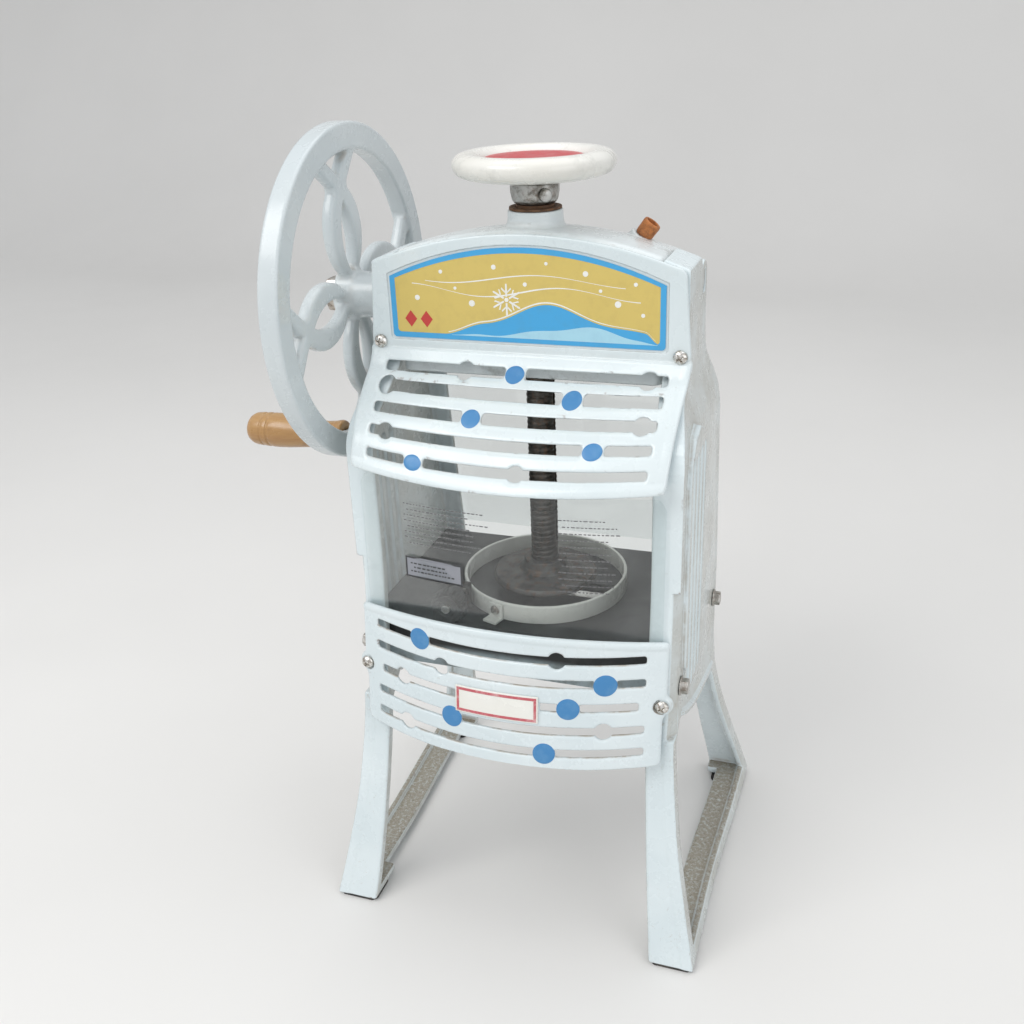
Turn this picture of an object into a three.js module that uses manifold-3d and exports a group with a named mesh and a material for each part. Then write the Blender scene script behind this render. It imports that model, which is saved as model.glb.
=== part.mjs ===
// Hand-cranked block ice shaver, modelled in millimetres with +Z up.
// X runs from the flywheel side to the plain side, Y runs from front to back.
// Each physical piece is one named mesh; touching pieces keep a 0.3 mm gap.
import * as THREE from 'three';
import { mergeVertices } from 'three/addons/utils/BufferGeometryUtils.js';
import Module from 'manifold-3d';

const wasm = await Module();
wasm.setup();

// ---------------------------------------------------------------- driving dimensions
const SHIFT_X = 49.9;            // puts the origin under the middle of the bounding box
const SHIFT_Y = -2.75;
const GAP = 0.3;

const PANEL_X = 143;             // outer plane of the side panels
const PANEL_T = 6;
const HEAD_X = 112.6;            // half width of the head casting
const HEAD_FRONT = -35.4;
const HEAD_BACK = 42;
const HEAD_BOTTOM = 500;
const FASCIA_X = 132;
const FASCIA_LOW_X = 136.5;      // half width at the lower corners of the fascia
const FASCIA_Y = -40;            // front plane of the fascia
const SHAFT_Z = 556;             // flywheel shaft height
const SHAFT_R = 10;
const SPINDLE_R = 12.5;
const TABLE_TOP = 289;
const RING_R = 75.4;
const RING_WALL = 2.8;
const RING_TOP = 306;
const WHEEL_R = 144;
const WHEEL_X0 = -181;
const WHEEL_X1 = -163;
const WHEEL_RIM = 22;
const PETALS = 4;
const PETAL_TURN = 7;            // degrees
const HANDWHEEL_R = 66;
const HANDWHEEL_TOP = 680;
const GRIP_Y = -23;
const GRIP_Z = 430;
const GRIP_X0 = -181.3;
const GRIP_X1 = -279;
const PINION_TEETH = 10;
const GEAR_TEETH = 20;
const PLUG_AT = [82, 26, 606];
const PLUG_TILT = 37;            // degrees from upright towards +X
const COVER_X = 131;
const COVER_BULGE = 18;

// side frame: front face, rear face, outer and inner edge against height
const FRONT_Y = [[3.3, -149.5], [30, -142], [60, -135], [90, -128.5], [120, -122.5], [150, -117], [180, -112], [210, -108.5], [250, -104.5], [300, -99.5], [360, -95], [445, -94.5], [456, -92], [470, -84], [485, -69], [498, -52.5], [511, -35.4], [606, -35.4]];
const REAR_Y = [[577.5, 41.5], [530, 43], [510, 52], [492, 69], [478, 76], [450, 79], [360, 91], [271, 101.5], [172, 101], [150, 106], [120, 117], [60, 138], [20, 151], [3.3, 155]];
const OUTER_X = [[0, 173.2], [30, 167], [60, 161], [90, 155.3], [120, 150.6], [150, 147.3], [180, 144.6], [210, 143], [450, 143], [466, 141.5], [498, 134.2], [510, 133], [620, 133]];
const INNER_X = [[0, 133], [30, 130.2], [60, 127.4], [90, 125], [120, 122.9], [150, 121.1], [180, 119.6], [210, 118.5], [450, 118.5], [466, 118], [499, 113.6], [510, 113], [620, 113]];

// upper cover: outline of the sloping hood (y, z), bulge and drop grow downwards
const HOOD = [[520.5, -41.5], [509, -50], [498, -65], [485, -81], [470, -95], [453.5, -106], [440, -112]];
const HOOD_BULGE = 19;
const HOOD_DROP = 5;
const SLOT_H = 7;
const HOOD_SLOTS = [
  { z: 509, x0: -117, x1: 117, solid: [-4.5], round: [-47, 102.5] },
  { z: 497, x0: -117, x1: 117, solid: [47.5], round: [-111] },
  { z: 483.5, x0: -117, x1: 117, solid: [-30], round: [106] },
  { z: 469, x0: -117, x1: 117, solid: [73], round: [-102.5] },
  { z: 453, x0: -117, x1: 117, solid: [-72.5], round: [15.5] },
];
const LOWER_SLOTS = [
  { z: 293, x0: -120, x1: 120, solid: [-74], round: [49] },
  { z: 273, x0: -120, x1: 120, solid: [89], round: [-53] },
  { z: 252, x0: -115, x1: 115, solid: [59.5], round: [-93] },
  { z: 231, x0: -120, x1: 120, solid: [-43], round: [88] },
  { z: 211, x0: -120, x1: 120, solid: [40], round: [-89] },
];
const LOWER_X = 137;
const LOWER_Z0 = 196;
const LOWER_Z1 = 306;
const LOWER_BULGE = 30;
const LOWER_SEAT_Y = -112.9;     // flat seat under the screw heads

// ---------------------------------------------------------------- helpers
function lerpTable(table, t) {
  const up = table[0][0] < table[table.length - 1][0];
  const rows = up ? table : [...table].reverse();
  if (t <= rows[0][0]) return rows[0][1];
  for (let i = 1; i < rows.length; i++) {
    if (t <= rows[i][0]) {
      const [a, va] = rows[i - 1];
      const [b, vb] = rows[i];
      return va + ((vb - va) * (t - a)) / (b - a);
    }
  }
  return rows[rows.length - 1][1];
}

function solid(geometry) {
  const g = geometry.clone();
  for (const name of Object.keys(g.attributes)) if (name !== 'position') g.deleteAttribute(name);
  const m = mergeVertices(g, 1e-4);
  return new wasm.Manifold(new wasm.Mesh({
    numProp: 3,
    vertProperties: new Float32Array(m.attributes.position.array),
    triVerts: new Uint32Array(m.index.array),
  }));
}

function geometryOf(manifold) {
  const mesh = manifold.simplify(0.08).getMesh();
  let g = new THREE.BufferGeometry();
  const src = mesh.vertProperties;
  const n = mesh.numProp;
  const pos = new Float32Array((src.length / n) * 3);
  for (let i = 0; i < src.length / n; i++) for (let k = 0; k < 3; k++) pos[i * 3 + k] = src[i * n + k];
  g.setAttribute('position', new THREE.BufferAttribute(pos, 3));
  g.setIndex(new THREE.BufferAttribute(new Uint32Array(mesh.triVerts), 1));
  g = g.toNonIndexed();
  g.computeVertexNormals();
  return g;
}

// moves every vertex of a solid with fn and closes it again
function bend(manifold, fn) {
  const mesh = manifold.getMesh();
  const n = mesh.numProp;
  const pos = new Float32Array((mesh.vertProperties.length / n) * 3);
  for (let i = 0; i < pos.length / 3; i++) {
    const v = [0, 1, 2].map((k) => mesh.vertProperties[i * n + k]);
    fn(v);
    pos.set(v, i * 3);
  }
  const g = new THREE.BufferGeometry();
  g.setAttribute('position', new THREE.BufferAttribute(pos, 3));
  g.setIndex(new THREE.BufferAttribute(new Uint32Array(mesh.triVerts), 1));
  return new wasm.Manifold(new wasm.Mesh({
    numProp: 3,
    vertProperties: new Float32Array(g.attributes.position.array),
    triVerts: new Uint32Array(g.index.array),
  }));
}

const union = (...list) => list.flat().reduce((a, b) => a.add(b));

function extrude(points, depth) {
  const shape = new THREE.Shape(points.map(([a, b]) => new THREE.Vector2(a, b)));
  return new THREE.ExtrudeGeometry(shape, { depth, bevelEnabled: false });
}

const TO_X = new THREE.Matrix4().set(0, 0, 1, 0, 1, 0, 0, 0, 0, 1, 0, 0, 0, 0, 0, 1);
const TO_Y = new THREE.Matrix4().set(1, 0, 0, 0, 0, 0, -1, 0, 0, 1, 0, 0, 0, 0, 0, 1);

function prism(points, depth, matrix, x, y, z, holes) {
  const g = extrude(points, depth);
  if (matrix) g.applyMatrix4(matrix);
  g.translate(x, y, z);
  let m = solid(g);
  for (const h of holes) m = m.subtract(prism(h, depth, matrix, x, y, z, []));
  return m;
}

// outline in (y, z), run along x
const prismX = (points, x0, x1, holes = []) => prism(points, x1 - x0, TO_X, x0, 0, 0, holes);
// outline in (x, z), run along y
const prismY = (points, y0, y1, holes = []) => prism(points, y1 - y0, TO_Y, 0, y1, 0, holes);
// outline in (x, y), run along z
const prismZ = (points, z0, z1, holes = []) => prism(points, z1 - z0, null, 0, 0, z0, holes);

function box(x0, x1, y0, y1, z0, z1) {
  const g = new THREE.BoxGeometry(x1 - x0, y1 - y0, z1 - z0);
  g.translate((x0 + x1) / 2, (y0 + y1) / 2, (z0 + z1) / 2);
  return solid(g);
}

// profile of [r, z] points turned about Z; starts and ends on the axis, or closes on itself
function turned(profile, segments = 32) {
  const pts = profile.map(([r, z]) => new THREE.Vector2(r, z));
  let area = 0;
  for (let i = 0; i < pts.length; i++) {
    const a = pts[i];
    const b = pts[(i + 1) % pts.length];
    area += a.x * b.y - b.x * a.y;
  }
  if (area < 0) pts.reverse();
  if (pts[0].x !== 0) pts.push(pts[0].clone());
  const g = new THREE.LatheGeometry(pts, segments);
  g.rotateX(Math.PI / 2);
  const m = solid(g);
  return m;
}

const along = {
  z: (m) => m,
  x: (m) => m.rotate([0, 90, 0]),
  nx: (m) => m.rotate([0, -90, 0]),
  y: (m) => m.rotate([-90, 0, 0]),
  ny: (m) => m.rotate([90, 0, 0]),
};

function rod(r, h, segments = 24) {
  return turned([[0, 0], [r, 0], [r, h], [0, h]], segments);
}
const rodX = (r, x0, x1, y, z, seg) => along.x(rod(r, x1 - x0, seg)).translate([x0, y, z]);
const rodY = (r, y0, y1, x, z, seg) => along.y(rod(r, y1 - y0, seg)).translate([x, y0, z]);
const rodZ = (r, z0, z1, x, y, seg) => rod(r, z1 - z0, seg).translate([x, y, z0]);

function roundRect(a0, a1, b0, b1, r, n = 5) {
  const pts = [];
  const corners = [[a1 - r, b1 - r, 0], [a0 + r, b1 - r, 90], [a0 + r, b0 + r, 180], [a1 - r, b0 + r, 270]];
  for (const [ca, cb, start] of corners) {
    for (let i = 0; i <= n; i++) {
      const t = ((start + (90 * i) / n) * Math.PI) / 180;
      pts.push([ca + r * Math.cos(t), cb + r * Math.sin(t)]);
    }
  }
  return pts;
}

function circle(ca, cb, r, n = 16, turn = 0) {
  return Array.from({ length: n }, (_, i) => {
    const t = ((i + turn) / n) * 2 * Math.PI;
    return [ca + r * Math.cos(t), cb + r * Math.sin(t)];
  });
}

function mirrorX(m) {
  return m.mirror([1, 0, 0]);
}

const group = new THREE.Group();
const machine = new THREE.Group();
machine.position.set(SHIFT_X, SHIFT_Y, 0);
group.add(machine);

const looks = {
  paint: [0xd9e6ec, 0.35, 0.0],
  white: [0xf0efe9, 0.35, 0.0],
  red: [0xc03a3a, 0.4, 0.0],
  decal: [0xc9a84e, 0.4, 0.0],
  steel: [0xb5b5b0, 0.3, 0.9],
  chrome: [0xc8c8c8, 0.15, 1.0],
  iron: [0x4a4642, 0.6, 0.8],
  black: [0x2b2a29, 0.6, 0.1],
  brass: [0xb08a4a, 0.4, 0.9],
  rust: [0x8c5a3c, 0.7, 0.5],
  ring: [0xe4e2d8, 0.4, 0.0],
  wood: [0xc98b4a, 0.4, 0.0],
  rubber: [0x2a2524, 0.9, 0.0],
  clear: [0xeef3f4, 0.08, 0.0],
};

function part(name, manifold, look, parent = machine) {
  const [color, roughness, metalness] = looks[look];
  const material = new THREE.MeshStandardMaterial({ color, roughness, metalness });
  if (look === 'clear') {
    material.transparent = true;
    material.opacity = 0.25;
  }
  const mesh = new THREE.Mesh(geometryOf(manifold), material);
  mesh.name = name;
  parent.add(mesh);
  return mesh;
}

// ---------------------------------------------------------------- side frames
function edge(table, offset, zs) {
  return zs.map((z) => [lerpTable(table, z) + offset, z]);
}

function xBand(inner, outer, zs) {
  const left = zs.map((z) => [inner(z), z]);
  const right = [...zs].reverse().map((z) => [outer(z), z]);
  return right.concat(left);
}

function sideFrame() {
  const top = [
    [14, 606],
    [16, 592],
    ...circle(30.5, 577.5, 11, 16).filter(([, z]) => z > 580).reverse(),
  ];
  const outline = [...FRONT_Y.map(([z, y]) => [y, z]), ...top, ...REAR_Y.map(([z, y]) => [y, z])];
  const zAll = [3.3, 30, 60, 90, 120, 150, 180, 210, 250, 300, 360, 450, 466, 498, 510, 620];
  const legHole = (d, bottom, arch) => [
    ...[bottom, 30, 60, 90, 120, 150, 180, 200].map((z) => [lerpTable(FRONT_Y, z) + d, z]),
    ...arch,
    ...[150, 120, 90, 60, 20].map((z) => [lerpTable(REAR_Y, z) - d, z]),
    [lerpTable(REAR_Y, 20) - d, bottom],
  ];
  const archA = [[-82, 224], [-60, 213], [-30, 201], [10, 190], [50, 182], [78, 176]];
  const archB = [[-82, 232], [-60, 221], [-30, 209], [10, 198], [50, 190], [80, 182]];

  // wall: the panel and the outer lip round the leg loop
  const wallBand = prismY(xBand((z) => lerpTable(OUTER_X, z) - PANEL_T, (z) => lerpTable(OUTER_X, z), zAll), -200, 200);
  const wall = prismX(outline, 90, 200, [legHole(17, 16, archA)]).intersect(wallBand);

  // ribbon: legs, columns and top flange, wide across x and thin the other way
  const columnHole = [
    ...[236, 250, 300, 360, 445, 456, 470, 485, 498, 511].map((z) => [lerpTable(FRONT_Y, z) + 10, z]),
    [-25.4, 572],
    [22, 572],
    ...[560, 530, 510, 492, 478, 450, 360, 271, 200].map((z) => [lerpTable(REAR_Y, z) - 7, z]),
    ...[...archB].reverse(),
  ];
  const legBand = prismY(xBand((z) => lerpTable(INNER_X, z), (z) => lerpTable(OUTER_X, z) - 1, [0, ...zAll.slice(1)]), -200, 200);
  let ribbon = prismX(outline, 90, 200, [legHole(10, 11.5, archA), columnHole]).intersect(legBand);
  // the base rail is set outwards of the leg's inner edge, past the foot flange
  ribbon = ribbon.subtract(box(100, 142, -105, 131, -5, 14));
  // the web along the arch is only as wide as the wall
  ribbon = ribbon.subtract(box(100, 137.2, -72, 82, 176, 240));
  // inner wall against the head casting
  const innerWall = prismX([[-35.4, 520], [-35.4, 606], ...top, [42, 570], [43, 530], [46, 520]], 113, 118);

  // lip that sticks out along the lower edge of the panel
  const lip = prismX([...archA.map(([y, z]) => [y, z + 0.01]), ...[...archA].reverse().map(([y, z]) => [y, z + 5])], 140, 148);

  // raised panel with four flutes
  const padOutline = [[-80, 270], [-72, 263], [-66, 238], [-12, 226], [-8, 300], [-6, 420], [-10, 448], [-22, 464], [-42, 473], [-62, 468], [-76, 452], [-80, 430]].reverse();
  let pad = prismX(padOutline, 140, 147.2);
  pad = pad.subtract(union([-67, -51, -35, -19].map((y) => rodZ(3, 236, 455, 148.2, y, 8))));

  let frame = union(wall, ribbon, innerWall, lip, pad);
  // the top follows the arch of the head
  const above = archOutline(FASCIA_X, 0, 594, 620, 24).slice(2);
  frame = frame.subtract(prismY([[160, 582.5], [160, 700], [-160, 700], [-160, 582.5], ...above.reverse()], -60, 16));

  // rounded slot at the top of the rear column
  frame = frame.subtract(prismX(roundRect(26.5, 34.5, 562, 582, 3.9, 4), 100, 160));
  for (const [y, z] of SIDE_BOLTS) frame = frame.subtract(rodX(4.4, 110, 160, y, z, 16));
  for (const [y, z] of HEAD_BOLTS) frame = frame.subtract(rodX(3.4, 100, 122, y, z, 12));
  // screws of the two front covers
  frame = frame.subtract(rodY(3.4, -125, -80, 133.4, 250.5, 16));
  frame = frame.subtract(rodY(2.6, -60, -20, UPPER_SCREW_X, UPPER_SCREW_Z, 12));
  frame = frame.subtract(rodY(2.6, 60, 90, 127, 455, 12));
  // chamfer on the outer edge of the front column
  frame = frame.subtract(bend(prismZ([[146.5, -112], [146.5, -91], [143.3, -91], [133, -112]], 215, 345), (v) => {
    v[1] += lerpTable([[215, -3], [250, -1], [345, 8.6]], v[2]);
  }));

  // the legs splay a little more at the back
  return bend(frame, (v) => {
    if (v[2] < 170 && v[0] > 90) {
      const s = Math.min(1, Math.max(0, (v[1] + 60) / 200));
      v[0] += 6.8 * s * s * (3 - 2 * s) * (1 - v[2] / 170);
    }
  });
}

const SIDE_BOLTS = [[87, 248], [-84, 255]];
const HEAD_BOLTS = [[26, 536], [-14, 536]];
const UPPER_SCREW_X = 128;
const UPPER_SCREW_Z = 526.6;

const rightFrame = sideFrame();
part('side_frame_right', rightFrame, 'paint');
part('side_frame_left', mirrorX(rightFrame).subtract(rodX(15, -160, -100, 0, SHAFT_Z, 24)), 'paint');

for (const [name, sx, y] of [['foot_pad_front_left', -1, -131], ['foot_pad_front_right', 1, -131], ['foot_pad_rear_left', -1, 138], ['foot_pad_rear_right', 1, 138]]) {
  const rear = y > 0;
  const x0 = rear ? 144 : 134;
  const x1 = rear ? 178 : 172;
  const pts = roundRect(x0, x1, y - 17, y + 15, 4, 1);
  const pad = prismZ(pts, 0, 3);
  part(name, sx > 0 ? pad : mirrorX(pad), 'rubber');
}

// ---------------------------------------------------------------- head casting
function archOutline(halfX, z0, shoulder, centre, n = 12) {
  const pts = [[-halfX, z0], [halfX, z0]];
  for (let i = 0; i <= n; i++) {
    const x = halfX * (1 - (2 * i) / n);
    pts.push([x, shoulder + (centre - shoulder) * (1 - (x / halfX) ** 2)]);
  }
  return pts;
}

{
  const outer = prismY(archOutline(HEAD_X, HEAD_BOTTOM, 601.1, 620, 12), HEAD_FRONT, HEAD_BACK);
  // the roof falls away towards the back
  const fall = (v) => {
    if (v[2] > 560) v[2] -= 0.16 * Math.max(0, v[1]);
  };
  const crown = bend(outer, fall);
  const cavity = bend(prismY(archOutline(HEAD_X - 6, HEAD_BOTTOM + 8, 593, 611, 6), HEAD_FRONT + 6, HEAD_BACK - 6), fall);
  let head = crown.subtract(cavity);
  // spindle boss on the roof
  head = head.add(turned([[0, 604], [33, 604], [25, 618], [23, 624], [22.5, 631.7], [0, 631.7]], 20));
  // bearing boss for the flywheel shaft
  head = head.add(along.x(turned([[0, 0], [22, 0], [20, 22], [0, 22]], 16)).translate([-HEAD_X + 4, 0, SHAFT_Z]));
  // oil filler boss
  head = head.add(rod(10.5, 15.5, 20).translate([0, 0, -14]).rotate([0, PLUG_TILT, 0]).translate(PLUG_AT));
  head = head.subtract(rodZ(23.9, HEAD_BOTTOM - 2, HEAD_BOTTOM + 20, 0, 0, 20));
  head = head.subtract(rodZ(13.3, 590, 640, 0, 0, 20));
  head = head.subtract(rodX(13.8, -130, -80, 0, SHAFT_Z, 20));
  head = head.subtract(rod(6.4, 40, 16).translate([0, 0, -25]).rotate([0, PLUG_TILT, 0]).translate(PLUG_AT));
  // hole in the floor that drains grease and opens the gear space
  head = head.subtract(rodZ(7, HEAD_BOTTOM - 2, HEAD_BOTTOM + 20, 80, 5, 16));
  for (const s of [-1, 1]) for (const [y, z] of HEAD_BOLTS) head = head.subtract(rodX(3.4, s > 0 ? 100 : -130, s > 0 ? 130 : -100, y, z, 12));
  part('head_casting', head, 'paint');
}

// ---------------------------------------------------------------- upper front cover
const hoodY = (z) => lerpTable(HOOD, z);
const hoodT = (z) => Math.min(1, Math.max(0, (520.5 - z) / 80.5));

function hoodWarp(v) {
  const t = hoodT(v[2]);
  const k = 1 - (v[0] / 131) ** 2;
  v[1] += hoodY(v[2]) - HOOD_BULGE * t * k;
  v[2] -= HOOD_DROP * t * k;
  v[0] *= (FASCIA_LOW_X + (131 - FASCIA_LOW_X) * t) / FASCIA_X;
}

// flat sheet with n even strips along x, so that it can be bent
function sheet(halfX, y0, y1, z0, z1, n) {
  const g = new THREE.BoxGeometry(2 * halfX, y1 - y0, z1 - z0, n, 1, 1);
  g.translate(0, (y0 + y1) / 2, (z0 + z1) / 2);
  return solid(g);
}

// rx and rz: half width and half height of the round holes
function slotCutters(slots, h, rx, rz, cut) {
  const list = [];
  for (const s of slots) {
    const stops = [...s.solid].sort((a, b) => a - b);
    let x = s.x0;
    const spans = [];
    for (const c of stops) {
      spans.push([x, c - 9]);
      x = c + 9;
    }
    spans.push([x, s.x1]);
    for (const [a, b] of spans) if (b - a > 8) list.push(cut(roundRect(a, b, s.z - h / 2, s.z + h / 2, Math.min(2.2, h / 2 - 0.1), 1)));
    for (const c of s.round) list.push(cut(circle(0, 0, 1, 10, 0.5).map(([u, v]) => [c + rx * u, s.z + rz * v])));
  }
  return union(list);
}

const HOOD_STATIONS = 12;
{
  // sheet of the hood, cut while flat, then bent to its slope and bulge
  const levels = HOOD.map(([z]) => z);
  const slabs = [];
  for (let i = 0; i + 1 < levels.length; i++) slabs.push(sheet(FASCIA_X, 0, 5, levels[i + 1], levels[i], HOOD_STATIONS));
  let hood = union(slabs);
  const slots = slotCutters(HOOD_SLOTS, SLOT_H, 6.9, 5.2, (pts) => prismY(pts, -2, 8));
  hood = hood.subtract(slots);
  hood = bend(hood, hoodWarp);
  // side returns of the hood
  const cheek = [...HOOD.map(([z, y]) => [y + 1.5, z]), ...[...HOOD].reverse().map(([z]) => [lerpTable(FRONT_Y, z) - 1.5, z])];
  const cheeks = [bend(prismX(cheek.reverse(), 127.5, FASCIA_X), (v) => {
    v[0] *= (FASCIA_LOW_X + (131 - FASCIA_LOW_X) * hoodT(v[2])) / FASCIA_X;
  })];
  cheeks.push(mirrorX(cheeks[0]));
  // fascia with a raised border round a shallow recess
  const outline = [[-FASCIA_LOW_X, 515], [FASCIA_LOW_X, 515], [FASCIA_LOW_X - 0.4, 530], [FASCIA_X, 586]];
  for (let i = 0; i <= 4; i++) {
    const t = (i / 4) * (Math.PI / 2);
    outline.push([124 + 8 * Math.cos(t), 588 + 8 * Math.sin(t)]);
  }
  for (let i = 1; i < 14; i++) {
    const x = 124 - (248 * i) / 14;
    outline.push([x, 596 + 22.5 * (1 - (x / 124) ** 2)]);
  }
  for (let i = 4; i >= 0; i--) {
    const t = (i / 4) * (Math.PI / 2);
    outline.push([-124 - 8 * Math.cos(t), 588 + 8 * Math.sin(t)]);
  }
  outline.push([-FASCIA_X, 586], [-FASCIA_LOW_X + 0.4, 530]);
  let fascia = prismY(outline, FASCIA_Y, FASCIA_Y + 4.3);
  const recess = [[-118, 529], [118, 529]];
  for (let i = 0; i <= 14; i++) {
    const x = 118 - (236 * i) / 14;
    recess.push([x, 584 + 26 * (1 - (x / 118) ** 2)]);
  }
  fascia = fascia.subtract(prismY(recess, FASCIA_Y - 1, FASCIA_Y + 1.4));
  let cover = union(fascia, hood, cheeks);
  for (const s of [-1, 1]) cover = cover.subtract(rodY(2.8, -60, -30, s * UPPER_SCREW_X, UPPER_SCREW_Z, 12));
  part('front_cover_upper', cover, 'paint');

  const plate = [[-116, 531], [116, 531]];
  for (let i = 0; i <= 14; i++) {
    const x = 116 - (232 * i) / 14;
    plate.push([x, 582 + 26 * (1 - (x / 116) ** 2)]);
  }
  let decal = prismY(plate, FASCIA_Y + 0.2, FASCIA_Y + 1.1);
  part('decal_plate', decal, 'decal');
}

// ---------------------------------------------------------------- lower grille
const lowerEnd = (z) => -103.8 - 0.13 * (312 - z);
const lowerSag = (z) => 1.5 + 0.03 * (300 - z);   // how far the bars hang down in the middle
{
  const flat = sheet(LOWER_X, 0, 4, LOWER_Z0, LOWER_Z1, 14);
  let grille = flat.subtract(slotCutters(LOWER_SLOTS, 7.4, 7.4, 7.4, (pts) => prismY(pts, -2, 6)));
  // solid patch behind the badge
  grille = grille.add(prismY([[-40, 246], [36, 246], [36, 258], [-40, 258]], 0, 4));
  // narrower below the screws
  for (const s of [-1, 1]) {
    const cut = prismY([[s * 134.2, 190], [s * 150, 190], [s * 150, 246], [s * 134.2, 238]], -3, 8);
    grille = grille.subtract(cut);
    grille = grille.add(prismY(circle(s * 133.4, 250.5, 8.8, 14), 0, 4));
  }
  grille = bend(grille, (v) => {
    const k = 1 - (v[0] / LOWER_X) ** 2;
    v[1] += lowerEnd(v[2]) - LOWER_BULGE * k;
    v[2] += (v[2] > LOWER_Z1 - 0.5 ? 7 * k : 0) - lowerSag(v[2]) * k;
  });
  for (const s of [-1, 1]) {
    // spacer behind each ear, and a ledge that the clear cover stands on
    grille = grille.add(rodY(7, -111.5, -105.6, s * 133.4, 250.5, 16));
    grille = grille.add(box(Math.min(s * 123, s * 130), Math.max(s * 123, s * 130), -104.6, -100.8, 294, 298.6));
    grille = grille.subtract(rodY(2.8, -130, -90, s * 133.4, 250.5, 12)).subtract(rodY(6.9, -130, LOWER_SEAT_Y, s * 133.4, 250.5, 16));
  }
  part('lower_grille', grille, 'paint');
  const badge = bend(sheet(1, 0, 1, 235.5, 259.5, 6), (v) => {
    const x = -1.75 + 36.75 * v[0];
    const k = 1 - (x / LOWER_X) ** 2;
    v[0] = x;
    v[1] = lowerEnd(v[2] + lowerSag(v[2]) * k) - LOWER_BULGE * k - 0.4 - (v[1] < 0.5 ? 1.6 : 0);
  });
  part('badge_plate', badge, 'paint');
}

// ---------------------------------------------------------------- clear covers
{
  const cover = sheet(COVER_X, 0, 2.2, 299, 430, 14).subtract(union(
    [-1, 1].map((s) => prismY([[s * 121, 430.5], [s * 131.5, 430.5], [s * 131.5, 420], [s * 128, 427]], -5, 8)),
  ));
  part('front_cover_clear', bend(cover, (v) => {
    v[1] += -102.4 + 0.035 * (v[2] - 300) - COVER_BULGE * (1 - (v[0] / COVER_X) ** 2);
  }), 'clear');
  const zs = [297, 360, 450, 468];
  let rear = prismX([...zs.map((z) => [lerpTable(REAR_Y, z) + 2.8, z]), ...[...zs].reverse().map((z) => [lerpTable(REAR_Y, z) + GAP, z])], -134, 134);
  for (const s of [-1, 1]) for (const z of [455]) rear = rear.subtract(rodY(2.8, 60, 120, s * 127, z, 12));
  part('rear_cover', rear, 'clear');
}

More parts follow.
